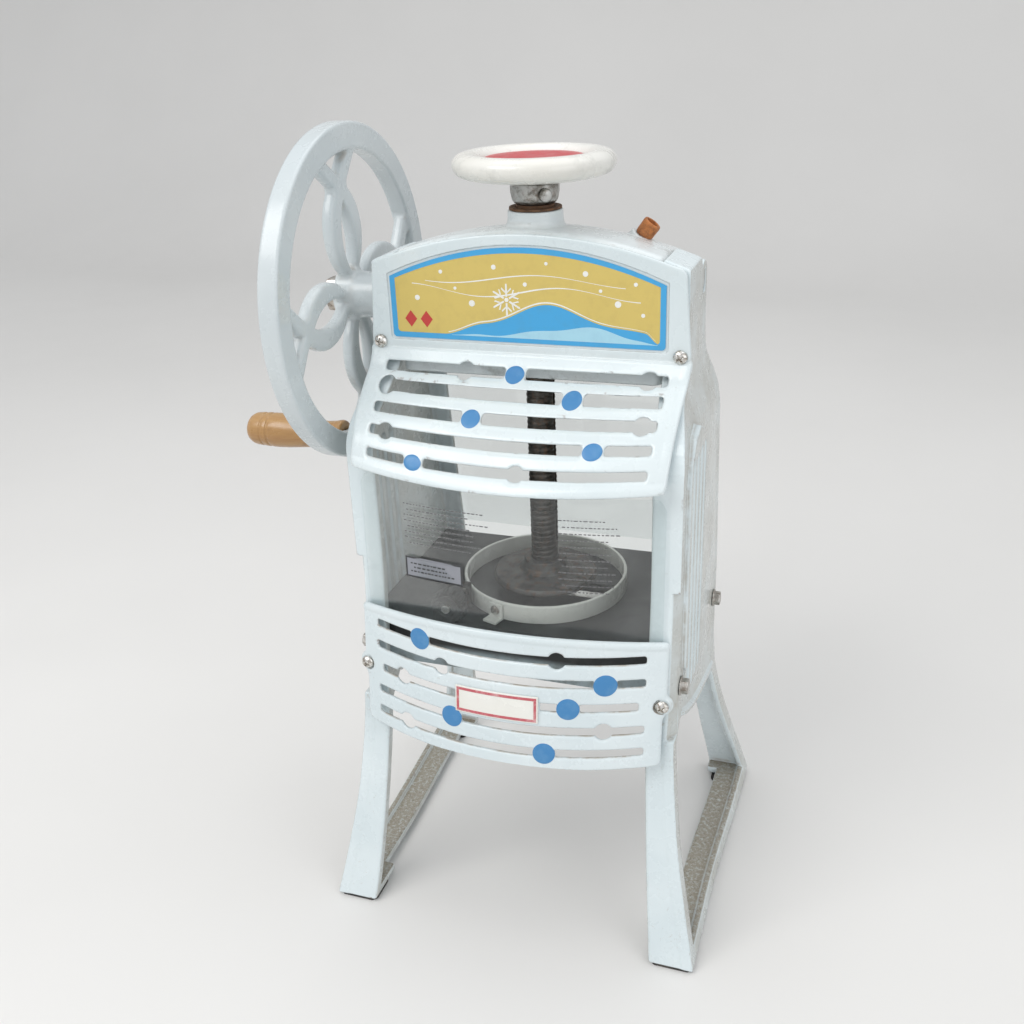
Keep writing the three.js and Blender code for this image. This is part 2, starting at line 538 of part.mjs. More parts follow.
// ---------------------------------------------------------------- table, blade and adjuster
const KNOB_X = -62;
const KNOB_Z = 305;
{
  let table = box(-136.6, 136.6, -90.3, 90, TABLE_TOP - 12, TABLE_TOP);
  for (const s of [-1, 1]) {
    const a = Math.min(s * 126, s * 136.6);
    const b = Math.max(s * 126, s * 136.6);
    table = table.add(box(a, b, -90.3, -73, 240, 278)).add(box(a, b, 73, 93.5, 238, 278));
    table = table.add(box(Math.min(s * 131.6, s * 136.6), Math.max(s * 131.6, s * 136.6), -80, 80, 256, 278));
    for (const [y, z] of SIDE_BOLTS) table = table.subtract(rodX(4.3, s > 0 ? 120 : -140, s > 0 ? 140 : -120, y, z, 16));
  }
  // front rail under the table's edge
  table = table.add(box(-127.5, 127.5, -90.3, -84.8, 243, 278));
  for (const s of [-1, 1]) table = table.subtract(rodX(4.6, s > 0 ? 116 : -130, s > 0 ? 130 : -116, SIDE_BOLTS[1][0], SIDE_BOLTS[1][1], 16));
  // lug that carries the knob shaft
  table = table.add(prismY([[KNOB_X - 10, 288], [KNOB_X + 10, 288], [KNOB_X + 10, KNOB_Z], ...circle(KNOB_X, KNOB_Z, 10, 16).slice(1, 8), [KNOB_X - 10, KNOB_Z]], -82, -70));
  table = table.subtract(rodY(4.4, -95, -60, KNOB_X, KNOB_Z, 20));
  // blade slot, yoke hole, screw holes
  table = table.subtract(prismZ(roundRect(5, 73, -16, 11, 4, 3), 270, 295));
  table = table.subtract(box(KNOB_X - 5, KNOB_X + 5, -65.5, -56.5, 270, 295));
  part('blade_table', table, 'black');

  let carrier = box(-70, 80, -24, 24, 264, 274.6).add(box(-70, -54, -68, -20, 264, 274.6));
  carrier = carrier.subtract(box(4, 74, -17, 11.2, 260, 280));
  carrier = carrier.add(prismX([[9.12, 264], [14, 264], [14, 274.6], [4.17, 274.6]], 3, 75));
  const seat = (m) => m.rotate([65.05, 0, 0]);
  const along_n = (r, a, b, x) => seat(rod(r, b - a, 14).translate([0, 0, a]).rotate([-90, 0, 0]).rotate([-65.05, 0, 0]).rotate([25.05, 0, 0])).translate([x, 3.2, 270]);
  for (const x of [22, 56]) carrier = carrier.subtract(along_n(2.6, -20, 12, x));
  part('blade_carrier', carrier, 'iron');

  const c = (z) => 7 - (z - 265) * 0.4675;
  let blade = prismX([[c(265.3) - 1.32, 265.3], [c(265.3) + 1.32, 265.3], [c(283) + 1.32, 283], [c(289.6) - 1.2, 289.6]], 9, 69);
  for (const x of [22, 56]) blade = blade.subtract(along_n(2.6, -20, 12, x));
  part('blade', blade, 'steel');
  let bar = prismX([[c(266) - 1.66, 266], [c(274) - 1.66, 274], [c(274) - 6.1, 274], [c(266) - 6.1, 266]].reverse(), 9, 69);
  for (const x of [22, 56]) bar = bar.subtract(along_n(2.6, -20, 12, x));
  part('blade_clamp_bar', bar, 'iron');
  [22, 56].forEach((x, i) => {
    part(`blade_screw_${i + 1}`, along_n(2.2, -7.4, 8, x).add(along_n(4.4, -8.6, -6.2, x)), 'steel');
  });

  let yoke = box(KNOB_X - 10.5, KNOB_X + 10.5, -64.5, -58, 294, 314).subtract(box(KNOB_X - 7.6, KNOB_X + 7.6, -66, -56, KNOB_Z - 1 - 6.4, KNOB_Z - 1 + 6.4));
  yoke = yoke.add(box(KNOB_X - 4, KNOB_X + 4, -64.5, -58, 274.9, 295));
  part('adjusting_yoke', yoke, 'iron');

  const shaft = rodY(4, -97, -57.6, KNOB_X, KNOB_Z, 12).add(rodY(6, -64.5, -58, KNOB_X, KNOB_Z - 1, 14));
  part('knob_shaft', shaft, 'steel');
  const knob = along.ny(turned([[4.3, 0], [15, 0], [15, 9], [13.5, 11.5], [4.3, 11.5]], 20)).translate([KNOB_X, -84, KNOB_Z]);
  part('adjusting_knob', knob, 'black');

  let ring = turned([[RING_R - RING_WALL, TABLE_TOP + GAP], [RING_R, TABLE_TOP + GAP], [RING_R, RING_TOP - 1], [RING_R - 0.8, RING_TOP], [RING_R - RING_WALL, RING_TOP]], 36);
  const at = Math.atan2(-71.5, -23);
  const place = (m) => m.rotate([0, 0, (at * 180) / Math.PI]);
  ring = ring.subtract(place(rodX(2.8, 60, 90, 0, 298, 12)));
  part('ice_ring', ring, 'ring');
  let clip = box(RING_R + GAP, RING_R + 2.5, -7, 7, TABLE_TOP + GAP, 304).add(box(RING_R + GAP, RING_R + 12, -7, 7, TABLE_TOP + GAP, TABLE_TOP + 2.3));
  clip = clip.subtract(rodX(2.8, 60, 90, 0, 298, 12));
  part('ring_clip', place(clip), 'ring');
  const screw = along.nx(turned([[0, 0], [2.2, 0], [2.2, 8], [0, 8]], 14)).translate([RING_R + 3, 0, 298])
    .add(along.x(turned([[0, 0], [4.6, 0], [4.6, 1.4], [3, 3], [0, 3.2]], 18)).translate([RING_R + 2.8, 0, 298]));
  part('ring_screw', place(screw), 'steel');
}

// ---------------------------------------------------------------- gears
const APEX_Z = SHAFT_Z;
const MODULE = 2.6;
function bevelTeeth(teeth, mate, turnHalf) {
  const rp = (MODULE * teeth) / 2;
  const hp = (MODULE * mate) / 2;
  const cone = Math.hypot(rp, hp);
  const n = [hp / cone, -rp / cone];
  const rows = [[1.7, 0.95], [0, 1.5], [-2.9, 2.1]];
  const small = (cone - 9) / cone;
  const list = [];
  const section = [...rows.map(([add, half]) => [half, add]), ...[...rows].reverse().map(([add, half]) => [-half, add])].reverse();
  for (let i = 0; i < teeth; i++) {
    const a = ((i + (turnHalf ? 0.5 : 0)) / teeth) * 2 * Math.PI;
    list.push(bend(solid(extrude(section, 1)), (v) => {
      const f = 1 + (small - 1) * v[2];
      const r = (rp + n[0] * v[1]) * f;
      const h = (hp + n[1] * v[1]) * f;
      const t = -v[0] * f;
      v[0] = r * Math.cos(a) - t * Math.sin(a);
      v[1] = r * Math.sin(a) + t * Math.cos(a);
      v[2] = -h;
    }));
  }
  return union(list);
}
{
  // pinion on the shaft, apex on the spindle axis, wide end outwards
  let pinion = bevelTeeth(PINION_TEETH, GEAR_TEETH, false);
  pinion = pinion.add(turned([[0, -44], [9.5, -44], [9.5, -28.6], [10.6, -27.2], [7.4, -18.9], [0, -18.9]], 20));
  pinion = pinion.subtract(rod(5.8, 60, 20).translate([0, 0, -60]));
  // the pinion's own axis lies along X, with a tooth pointing down
  pinion = pinion.rotate([0, 90, 0]);
  part('bevel_pinion', pinion.translate([0, 0, APEX_Z]), 'iron');

  let gear = bevelTeeth(GEAR_TEETH, PINION_TEETH, true).translate([0, 0, APEX_Z]);
  gear = gear.add(turned([[0, 500.5], [20, 500.5], [20, 511.7], [25, 511.7], [25, 540.4], [17.4, 544.9], [0, 544.9]], 24));
  gear = gear.subtract(rodZ(13.2, 490, 560, 0, 0, 24)).subtract(box(12, 15.4, -2.65, 2.65, 490, 560));
  part('bevel_gear', gear, 'iron');
  part('gear_key', box(10.5, 15, -2.3, 2.3, 514, 540), 'steel');
  part('gear_bush', turned([[20.35, 500.3], [23.4, 500.3], [23.4, 508.3], [28.5, 508.3], [28.5, 511.3], [20.35, 511.3]], 20), 'brass');
}

// ---------------------------------------------------------------- spindle and handwheel
{
  let spindle = turned([[0, 301], [11.5, 301], [12.5, 302], [12.5, 663], [11.5, 664], [0, 664]], 20);
  spindle = spindle.subtract(box(10.1, 14, -2.7, 2.7, 335, 545));
  part('spindle', spindle, 'iron');
  let disc = turned([[12.8, 300.8], [46, 300.8], [48, 303], [46, 306.5], [20, 309], [19, 319], [12.8, 319]], 18);
  const spike = turned([[0, 0], [3, 9], [0, 9]], 6);
  for (let i = 0; i < 6; i++) {
    const t = ((i + 0.5) / 6) * 2 * Math.PI;
    disc = disc.add(spike.translate([38 * Math.cos(t), 38 * Math.sin(t), 292.3]));
  }
  part('clamp_disc', disc, 'iron');
  part('boss_collar', turned([[15.9, 632], [21.5, 632], [21.5, 634], [15.9, 634]], 18), 'rust');
  part('lock_nut', turned([[13.2, 632], [15.6, 632], [15.6, 636], [13.2, 636]], 16), 'rust');
  let hub = turned([[12.8, 636.8], [18.5, 636.8], [19.8, 638], [20, 652.5], [12.8, 652.5]], 18);
  const dir = -50;
  const setAt = (m) => m.rotate([0, 0, dir]);
  hub = hub.subtract(setAt(rodX(3.4, 5, 30, 0, 644.5, 12)));
  part('handwheel_hub', hub, 'steel');
  part('hub_set_screw', setAt(rodX(3, 13, 21, 0, 644.5, 12).add(rodX(5.5, 20.3, 24, 0, 644.5, 16))), 'steel');
  part('handwheel', turned([[12.8, 652.9], [22, 652.9], [25, 656], [54, 657.2], [63, 660.5], [HANDWHEEL_R, 667.5], [65.3, 673.5], [61, 678.3], [56.5, HANDWHEEL_TOP], [50, 679], [45.8, 675], [43, 664.8], [12.8, 664.8]], 28), 'white');
  part('handwheel_cap', turned([[0, 665.1], [42.4, 665.1], [45, 674.5], [44, 676.4], [0, 677]], 24), 'red');
}

// ---------------------------------------------------------------- flywheel
function vesica(r0, r1, width, n = 6) {
  const a = (r1 - r0) / 2;
  const b = width / 2;
  const R = (a * a + b * b) / (2 * b);
  const half = Math.asin(a / R);
  const mid = (r0 + r1) / 2;
  const pts = [];
  for (let i = 0; i < n; i++) {
    const t = -half + (2 * half * i) / n;
    pts.push([R * Math.cos(t) - (R - b), mid + R * Math.sin(t)]);
  }
  for (let i = 0; i < n; i++) {
    const t = half - (2 * half * i) / n;
    pts.push([-(R * Math.cos(t) - (R - b)), mid + R * Math.sin(t)]);
  }
  return pts;
}
{
  const x0 = WHEEL_X0;
  const x1 = WHEEL_X1;
  const ri = WHEEL_R - WHEEL_RIM;
  const rim = along.x(turned([[ri + 2, 0], [WHEEL_R - 2.5, 0], [WHEEL_R, 2.5], [WHEEL_R, x1 - x0 - 2.5], [WHEEL_R - 2.5, x1 - x0], [ri + 2, x1 - x0], [ri, x1 - x0 - 2.5], [ri, 2.5]], 40)).translate([x0, 0, 0]);
  let web = null;
  for (let i = 0; i < PETALS; i++) {
    let petal = prismX(vesica(13, 94, 57), -178, -166).subtract(prismX(vesica(22, 76, 20), -190, -150));
    const y = prismX([[-9, 84], [9, 84], [12, 94], [28, 122.5], [-28, 122.5], [-12, 94]], -178, -166).subtract(prismX([[0, 101.5], [16, 118.5], [-16, 118.5]], -190, -150));
    petal = petal.add(y).rotate([90 * i + PETAL_TURN, 0, 0]);
    web = web ? web.add(petal) : petal;
  }
  let wheel = rim.add(web).add(rodX(20, x0, -135, 0, 0, 20));
  wheel = wheel.subtract(rodX(SHAFT_R + GAP, -200, -120, 0, 0, 20));
  wheel = wheel.subtract(rodX(5.3, -200, -150, GRIP_Y, GRIP_Z - SHAFT_Z, 16));
  part('flywheel', wheel.translate([0, 0, SHAFT_Z]), 'paint');

  part('drive_shaft', rodX(SHAFT_R, -194, -44.5, 0, SHAFT_Z, 20).add(rodX(5.5, -46, -16, 0, SHAFT_Z, 20)), 'steel');
  part('shaft_bush', along.x(turned([[SHAFT_R + 0.35, 0], [13.3, 0], [13.3, 32], [SHAFT_R + 0.35, 32]], 20)).translate([-130, 0, SHAFT_Z]), 'brass');
  const nut = prismX(circle(0, SHAFT_Z, 16, 6), -192, -181.3).subtract(rodX(SHAFT_R + GAP, -200, -170, 0, SHAFT_Z, 20));
  part('shaft_nut', nut, 'steel');

  const g = GRIP_X0 - GRIP_X1;
  const grip = along.nx(turned([[5.5, 0], [13.5, 0], [14.5, 3], [13, 10], [12.3, 18], [13.2, 34], [15.4, 56], [16, 68], [15.9, 73], [14.9, 74.5], [15.9, 76], [15.8, 80], [14.8, 81.5], [15.7, 83], [15, 91], [12.5, g - 2], [9.5, g], [8.2, g], [8.2, g - 5], [5.5, g - 5]], 12)).translate([GRIP_X0, GRIP_Y, GRIP_Z]);
  part('crank_grip', grip, 'wood');
  part('grip_bolt', rodX(5, GRIP_X1 + 2, -160, GRIP_Y, GRIP_Z, 14).add(rodX(7.8, GRIP_X1 + 0.6, GRIP_X1 + 4.6, GRIP_Y, GRIP_Z, 14)).add(prismX(circle(GRIP_Y, GRIP_Z, 9, 6), -162.7, -157)), 'steel');
}

// ---------------------------------------------------------------- fasteners and plug
function panScrew(r, length, head = 6) {
  return turned([[0, -length], [r, -length], [r, 0], [head, 0], [head, 1.4], [head - 1.6, 3.6], [0, 4.4]], 10);
}
for (const [side, s] of [['left', -1], ['right', 1]]) {
  part(`upper_cover_screw_${side}`, along.ny(panScrew(2.2, 15)).translate([s * UPPER_SCREW_X, FASCIA_Y - GAP, UPPER_SCREW_Z]), 'chrome');
  const yl = LOWER_SEAT_Y - GAP;
  part(`lower_cover_screw_${side}`, along.ny(panScrew(2.4, 19)).translate([s * 133.4, yl, 250.5]), 'chrome');
  for (const z of [455]) {
    part(`rear_cover_screw_${side}`, along.y(panScrew(2.3, 8, 5)).translate([s * 127, lerpTable(REAR_Y, z) + 4, z]), 'chrome');
  }
  SIDE_BOLTS.forEach(([y, z], i) => {
    const bolt = turned([[0, -26], [3.9, -26], [3.9, 0], [8.5, 0], [8.5, 1.5], [6.6, 1.5], [6.6, 7], [0, 7]], 10);
    const b = along.x(bolt).translate([PANEL_X + GAP, y, z]);
    part(`side_bolt_${side}_${i === 0 ? 'rear' : 'front'}`, s > 0 ? b : mirrorX(b), 'steel');
  });
  HEAD_BOLTS.forEach(([y, z], i) => {
    const bolt = turned([[0, -16], [3, -16], [3, 0], [6, 0], [6, 4.6], [0, 4.6]], 12);
    const b = along.x(bolt).translate([118 + GAP, y, z]);
    part(`head_bolt_${side}_${i === 0 ? 'low' : 'high'}`, s > 0 ? b : mirrorX(b), 'steel');
  });
}
part('oil_plug', turned([[0, -12], [6, -12], [6, 1.8], [7.2, 1.8], [7.6, 13.5], [7, 15], [4.5, 15], [4.5, 11], [0, 11]], 16).rotate([0, PLUG_TILT, 0]).translate(PLUG_AT), 'rust');

export default group;
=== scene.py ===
"""Looks of the hand-cranked block ice shaver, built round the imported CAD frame. Lengths in the builders are millimetres in the machine frame, whose origin is on the ground under the spindle."""
import math

import bmesh
import bpy
import numpy as np
from mathutils import Matrix, Vector


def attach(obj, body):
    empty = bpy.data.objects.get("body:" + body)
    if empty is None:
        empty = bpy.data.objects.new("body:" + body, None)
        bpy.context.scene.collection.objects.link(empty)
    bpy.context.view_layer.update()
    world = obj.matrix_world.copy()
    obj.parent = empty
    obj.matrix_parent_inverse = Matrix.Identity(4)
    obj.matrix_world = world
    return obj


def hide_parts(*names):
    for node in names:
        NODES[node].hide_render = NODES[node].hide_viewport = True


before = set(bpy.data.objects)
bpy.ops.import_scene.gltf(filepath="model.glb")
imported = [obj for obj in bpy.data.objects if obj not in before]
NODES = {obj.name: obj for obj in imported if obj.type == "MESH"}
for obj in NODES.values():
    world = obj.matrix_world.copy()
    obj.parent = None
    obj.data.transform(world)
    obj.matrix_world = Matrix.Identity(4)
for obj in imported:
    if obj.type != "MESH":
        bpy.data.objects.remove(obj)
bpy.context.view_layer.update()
SHIFT = np.array([49.9, -2.75, 0.0])          # machine frame to row frame, mm


# ------------------------------------------------------------------ tables shared by the castings
FRONT_Y = [[3.3, -149.5], [30, -142], [60, -135], [90, -128.5], [120, -122.5], [150, -117], [180, -112], [210, -108.5], [250, -104.5], [300, -99.5], [360, -95], [445, -94.5], [456, -92], [470, -84], [485, -69], [498, -52.5], [511, -35.4], [606, -35.4]]
REAR_Y = [[577.5, 41.5], [530, 43], [510, 52], [492, 69], [478, 76], [450, 79], [360, 91], [271, 101.5], [172, 101], [150, 106], [120, 117], [60, 138], [20, 151], [3.3, 155]]
OUTER_X = [[0, 173.2], [30, 167], [60, 161], [90, 155.3], [120, 150.6], [150, 147.3], [180, 144.6], [210, 143], [450, 143], [466, 141.5], [498, 134.2], [510, 133], [620, 133]]
INNER_X = [[0, 133], [30, 130.2], [60, 127.4], [90, 125], [120, 122.9], [150, 121.1], [180, 119.6], [210, 118.5], [450, 118.5], [466, 118], [499, 113.6], [510, 113], [620, 113]]
HOOD = [[520.5, -41.5], [509, -50], [498, -65], [485, -81], [470, -95], [453.5, -106], [440, -112]]
HOOD_SLOTS = [(509, -117, 117, [-4.5], [-47, 102.5]), (497, -117, 117, [47.5], [-111]), (483.5, -117, 117, [-30], [106]), (469, -117, 117, [73], [-102.5]), (453, -117, 117, [-72.5], [15.5])]
LOWER_SLOTS = [(293, -120, 120, [-74], [49]), (273, -120, 120, [89], [-53]), (252, -115, 115, [59.5], [-93]), (231, -120, 120, [-43], [88]), (211, -120, 120, [40], [-89])]


def spline(table, step=1.5):
    """Smooth monotone curve through the rows of a table, as a function."""
    rows = sorted(table)
    t = np.array([r[0] for r in rows], float)
    v = np.array([r[1] for r in rows], float)
    h = np.diff(t)
    d = np.diff(v) / h
    m = np.zeros(len(t))
    m[0], m[-1] = d[0], d[-1]
    for i in range(1, len(t) - 1):
        if d[i - 1] * d[i] > 0:
            w1, w2 = 2 * h[i] + h[i - 1], h[i] + 2 * h[i - 1]
            m[i] = (w1 + w2) / (w1 / d[i - 1] + w2 / d[i])
    tt = np.linspace(t[0], t[-1], max(2, int((t[-1] - t[0]) / step)))
    k = np.clip(np.searchsorted(t, tt, side="right") - 1, 0, len(h) - 1)
    s = (tt - t[k]) / h[k]
    vv = ((1 + 2 * s) * (1 - s) ** 2 * v[k] + s * (1 - s) ** 2 * h[k] * m[k] + s * s * (3 - 2 * s) * v[k + 1] + s * s * (s - 1) * h[k] * m[k + 1])
    return lambda q: np.interp(q, tt, vv)


front_y, rear_y, outer_x, inner_x, hood_y = (spline(t) for t in (FRONT_Y, REAR_Y, OUTER_X, INNER_X, HOOD))


# ------------------------------------------------------------------ distance fields
def smin(a, b, r):
    if r <= 0:
        return np.minimum(a, b)
    h = np.maximum(r - np.abs(a - b), 0) / r
    return np.minimum(a, b) - h * h * r * 0.25


def smax(a, b, r):
    return -smin(-a, -b, r)


def poly(points):
    """Signed distance to a closed outline in the plane, negative inside."""
    p = np.array(points, float)
    q = np.roll(p, -1, 0)

    def f(u, v):
        u, v = np.broadcast_arrays(u, v)
        d = np.full(u.shape, 1e12)
        s = np.ones(u.shape)
        for (a, b), (c, e) in zip(p, q):
            ex, ey = c - a, e - b
            wx, wy = u - a, v - b
            t = np.clip((wx * ex + wy * ey) / (ex * ex + ey * ey + 1e-12), 0, 1)
            d = np.minimum(d, (wx - ex * t) ** 2 + (wy - ey * t) ** 2)
            s = np.where(((b <= v) != (e <= v)) & (wx < ex * (v - b) / (ey if abs(ey) > 1e-12 else 1e-12)), -s, s)
        return s * np.sqrt(d)

    return f


def rrect(u, v, u0, u1, v0, v1, r):
    qx = np.abs(u - (u0 + u1) / 2) - (u1 - u0) / 2 + r
    qy = np.abs(v - (v0 + v1) / 2) - (v1 - v0) / 2 + r
    return np.hypot(np.maximum(qx, 0), np.maximum(qy, 0)) + np.minimum(np.maximum(qx, qy), 0) - r


def slab(a, lo, hi):
    return np.abs(a - (lo + hi) / 2) - (hi - lo) / 2


def slots_field(u, v, slots, h, rx, rz):
    """Union of slots and of the round or oval holes on them."""
    d = np.full(np.broadcast(u, v).shape, 1e3)
    for z, x0, x1, solid, rounds in slots:
        x = x0
        spans = []
        for c in sorted(solid):
            spans.append((x, c - 9))
            x = c + 9
        spans.append((x, x1))
        for a, b in spans:
            if b - a > 8:
                d = np.minimum(d, rrect(u, v, a, b, z - h / 2, z + h / 2, 2.0))
        for c in rounds:
            d = np.minimum(d, (np.hypot((u - c) / rx, (v - z) / rz) - 1) * min(rx, rz))
    return d


# ------------------------------------------------------------------ meshes from fields
def nets(f, lo, hi, h):
    """Closed quad mesh of the surface f = 0 on a grid of step h."""
    lo, hi = np.array(lo, float), np.array(hi, float)
    n = np.ceil((hi - lo) / h).astype(int) + 1
    ax = [lo[i] + h * np.arange(n[i]) for i in range(3)]
    v = np.array(np.broadcast_to(f(ax[0][:, None, None], ax[1][None, :, None], ax[2][None, None, :]), tuple(n)), dtype=np.float32)
    for i in range(3):
        s = [slice(None)] * 3
        for e in (0, -1):
            s[i] = e
            v[tuple(s)] = h
    ins = v < 0
    count = np.zeros(tuple(n - 1), np.int8)
    corners = [(i, j, k) for i in (0, 1) for j in (0, 1) for k in (0, 1)]
    for i, j, k in corners:
        count += ins[i:n[0] - 1 + i, j:n[1] - 1 + j, k:n[2] - 1 + k]
    active = (count > 0) & (count < 8)
    idx = np.argwhere(active)
    vid = np.full(active.shape, -1, np.int32)
    vid[active] = np.arange(len(idx))
    acc = np.zeros((len(idx), 3))
    num = np.zeros(len(idx))
    for a in range(3):
        b, c = (a + 1) % 3, (a + 2) % 3
        for j in (0, 1):
            for k in (0, 1):
                o = np.zeros(3, int)
                o[b], o[c] = j, k
                p = idx + o
                q = p.copy()
                q[:, a] += 1
                va = v[p[:, 0], p[:, 1], p[:, 2]]
                vb = v[q[:, 0], q[:, 1], q[:, 2]]
                cross = (va < 0) != (vb < 0)
                t = np.where(cross, va / np.where(cross, va - vb, 1), 0)
                w = np.tile(o.astype(float), (len(idx), 1))
                w[:, a] = t
                acc[cross] += w[cross]
                num[cross] += 1
    verts = lo + h * (idx + acc / num[:, None])
    quads = []
    for a in range(3):
        b, c = (a + 1) % 3, (a + 2) % 3
        s0, s1 = [slice(None)] * 3, [slice(None)] * 3
        s0[a], s1[a] = slice(0, -1), slice(1, None)
        i0, i1 = ins[tuple(s0)], ins[tuple(s1)]
        e = np.argwhere(i0 != i1)
        e = e[(e[:, b] > 0) & (e[:, c] > 0) & (e[:, b] < n[b] - 1) & (e[:, c] < n[c] - 1)]
        out = i0[e[:, 0], e[:, 1], e[:, 2]]

        def at(db, dc):
            q = e.copy()
            q[:, b] += db
            q[:, c] += dc
            return vid[q[:, 0], q[:, 1], q[:, 2]]

        face = np.stack([at(-1, -1), at(0, -1), at(0, 0), at(-1, 0)], 1)
        face[~out] = face[~out][:, ::-1]
        quads.append(face)
    return verts, np.concatenate(quads)


def gradient(f, p, e=0.25):
    g = np.zeros_like(p)
    for a in range(3):
        d = np.zeros(3)
        d[a] = e
        g[:, a] = (f(*(p + d).T) - f(*(p - d).T)) / (2 * e)
    return g


def settle(f, p, h, rounds=2):
    """Moves vertices onto the surface."""
    for _ in range(rounds):
        g = gradient(f, p)
        step = (f(*p.T) / np.maximum((g * g).sum(1), 0.15))[:, None] * g
        length = np.linalg.norm(step, axis=1, keepdims=True)
        p = p - step * np.minimum(1, 0.6 * h / np.maximum(length, 1e-9))
    return p


def mesh_from(name, verts, faces, fix=True, smooth=True):
    """verts in the machine frame, mm."""
    me = bpy.data.meshes.new(name)
    v = (np.asarray(verts, float) + SHIFT) / 1000.0
    if isinstance(faces, np.ndarray):
        k = faces.shape[1]
        me.vertices.add(len(v))
        me.vertices.foreach_set("co", v.astype(np.float32).ravel())
        me.loops.add(faces.size)
        me.loops.foreach_set("vertex_index", faces.astype(np.int32).ravel())
        me.polygons.add(len(faces))
        me.polygons.foreach_set("loop_start", np.arange(0, faces.size, k, dtype=np.int32))
        me.update(calc_edges=True)
    else:
        me.from_pydata([tuple(p) for p in v], [], [tuple(q) for q in faces])
        me.update(calc_edges=True)
    if fix:
        bm = bmesh.new()
        bm.from_mesh(me)
        bmesh.ops.remove_doubles(bm, verts=bm.verts, dist=1e-7)
        bmesh.ops.recalc_face_normals(bm, faces=bm.faces)
        if bm.calc_volume(signed=True) < 0:
            bmesh.ops.reverse_faces(bm, faces=bm.faces)
        bm.to_mesh(me)
        bm.free()
    ob = bpy.data.objects.new(name, me)
    bpy.context.scene.collection.objects.link(ob)
    if smooth:
        me.polygons.foreach_set("use_smooth", np.ones(len(me.polygons), bool))
    return ob


def baked(ob):
    """Applies the modifiers."""
    dg = bpy.context.evaluated_depsgraph_get()
    me = bpy.data.meshes.new_from_object(ob.evaluated_get(dg))
    ob.modifiers.clear()
    old = ob.data
    ob.data = me
    bpy.data.meshes.remove(old)
    return ob


def place(ob, body, material, replaces=()):
    ob.data.materials.clear()
    ob.data.materials.append(material)
    if replaces:
        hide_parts(*replaces)
    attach(ob, body)
    return ob


def cast(name, f, lo, hi, h, body, material, replaces=(), mirror=False, faces=100000, wear=1.5, hollow=6.0):
    """A piece whose surface is a distance field, with how sharp and how hollow each spot is stored on its vertices."""
    p, q = nets(f, lo, hi, h)
    p = settle(f, p, h)
    if mirror:
        p = p * np.array([-1.0, 1, 1])
        q = q[:, ::-1].copy()
    ob = mesh_from(name, p, q, fix=False)
    if len(q) * 2 > faces:
        m = ob.modifiers.new("thin", "DECIMATE")
        m.ratio = faces / (len(q) * 2.0)
        m.use_collapse_triangulate = True
        baked(ob)
    me = ob.data
    me.validate()
    co = np.zeros(len(me.vertices) * 3, np.float32)
    me.vertices.foreach_get("co", co)
    v = co.reshape(-1, 3).astype(float) * 1000.0 - SHIFT
    if mirror:
        v = v * np.array([-1.0, 1, 1])
    g = gradient(f, v)
    g /= np.maximum(np.linalg.norm(g, axis=1, keepdims=True), 1e-6)
    sharp = np.clip((f(*(v - g * wear).T) + wear) / wear, 0, 1)
    deep = np.clip((hollow - f(*(v + g * hollow).T)) / hollow, 0, 1)
    for key, val in (("edge", sharp), ("cav", deep)):
        a = me.attributes.new(key, "FLOAT", "POINT")
        a.data.foreach_set("value", val.astype(np.float32))
    me.polygons.foreach_set("use_smooth", np.ones(len(me.polygons), bool))
    if mirror:
        g = g * np.array([-1.0, 1, 1])
    me.normals_split_custom_set_from_vertices([tuple(n) for n in g])
    return place(ob, body, material, replaces)


def rounded(profile, r, n=3, closed=False):
    """Profile with its corners rounded."""
    pts = [np.array(p, float) for p in profile]
    out = []
    m = len(pts)
    for i, p in enumerate(pts):
        if not closed and (i == 0 or i == m - 1):
            out.append(p)
            continue
        a, b = pts[i - 1], pts[(i + 1) % m]
        la, lb = np.linalg.norm(a - p), np.linalg.norm(b - p)
        d = min(r, la * 0.45, lb * 0.45)
        s, e = p + (a - p) / la * d, p + (b - p) / lb * d
        for k in range(n + 1):
            t = k / n
            out.append((1 - t) ** 2 * s + 2 * t * (1 - t) * p + t * t * e)
    return out


AXES = {"z": ((1, 0, 0), (0, 1, 0), (0, 0, 1)), "x": ((0, 1, 0), (0, 0, 1), (1, 0, 0)), "nx": ((0, 1, 0), (0, 0, 1), (-1, 0, 0)), "y": ((1, 0, 0), (0, 0, 1), (0, 1, 0)), "ny": ((1, 0, 0), (0, 0, 1), (0, -1, 0))}


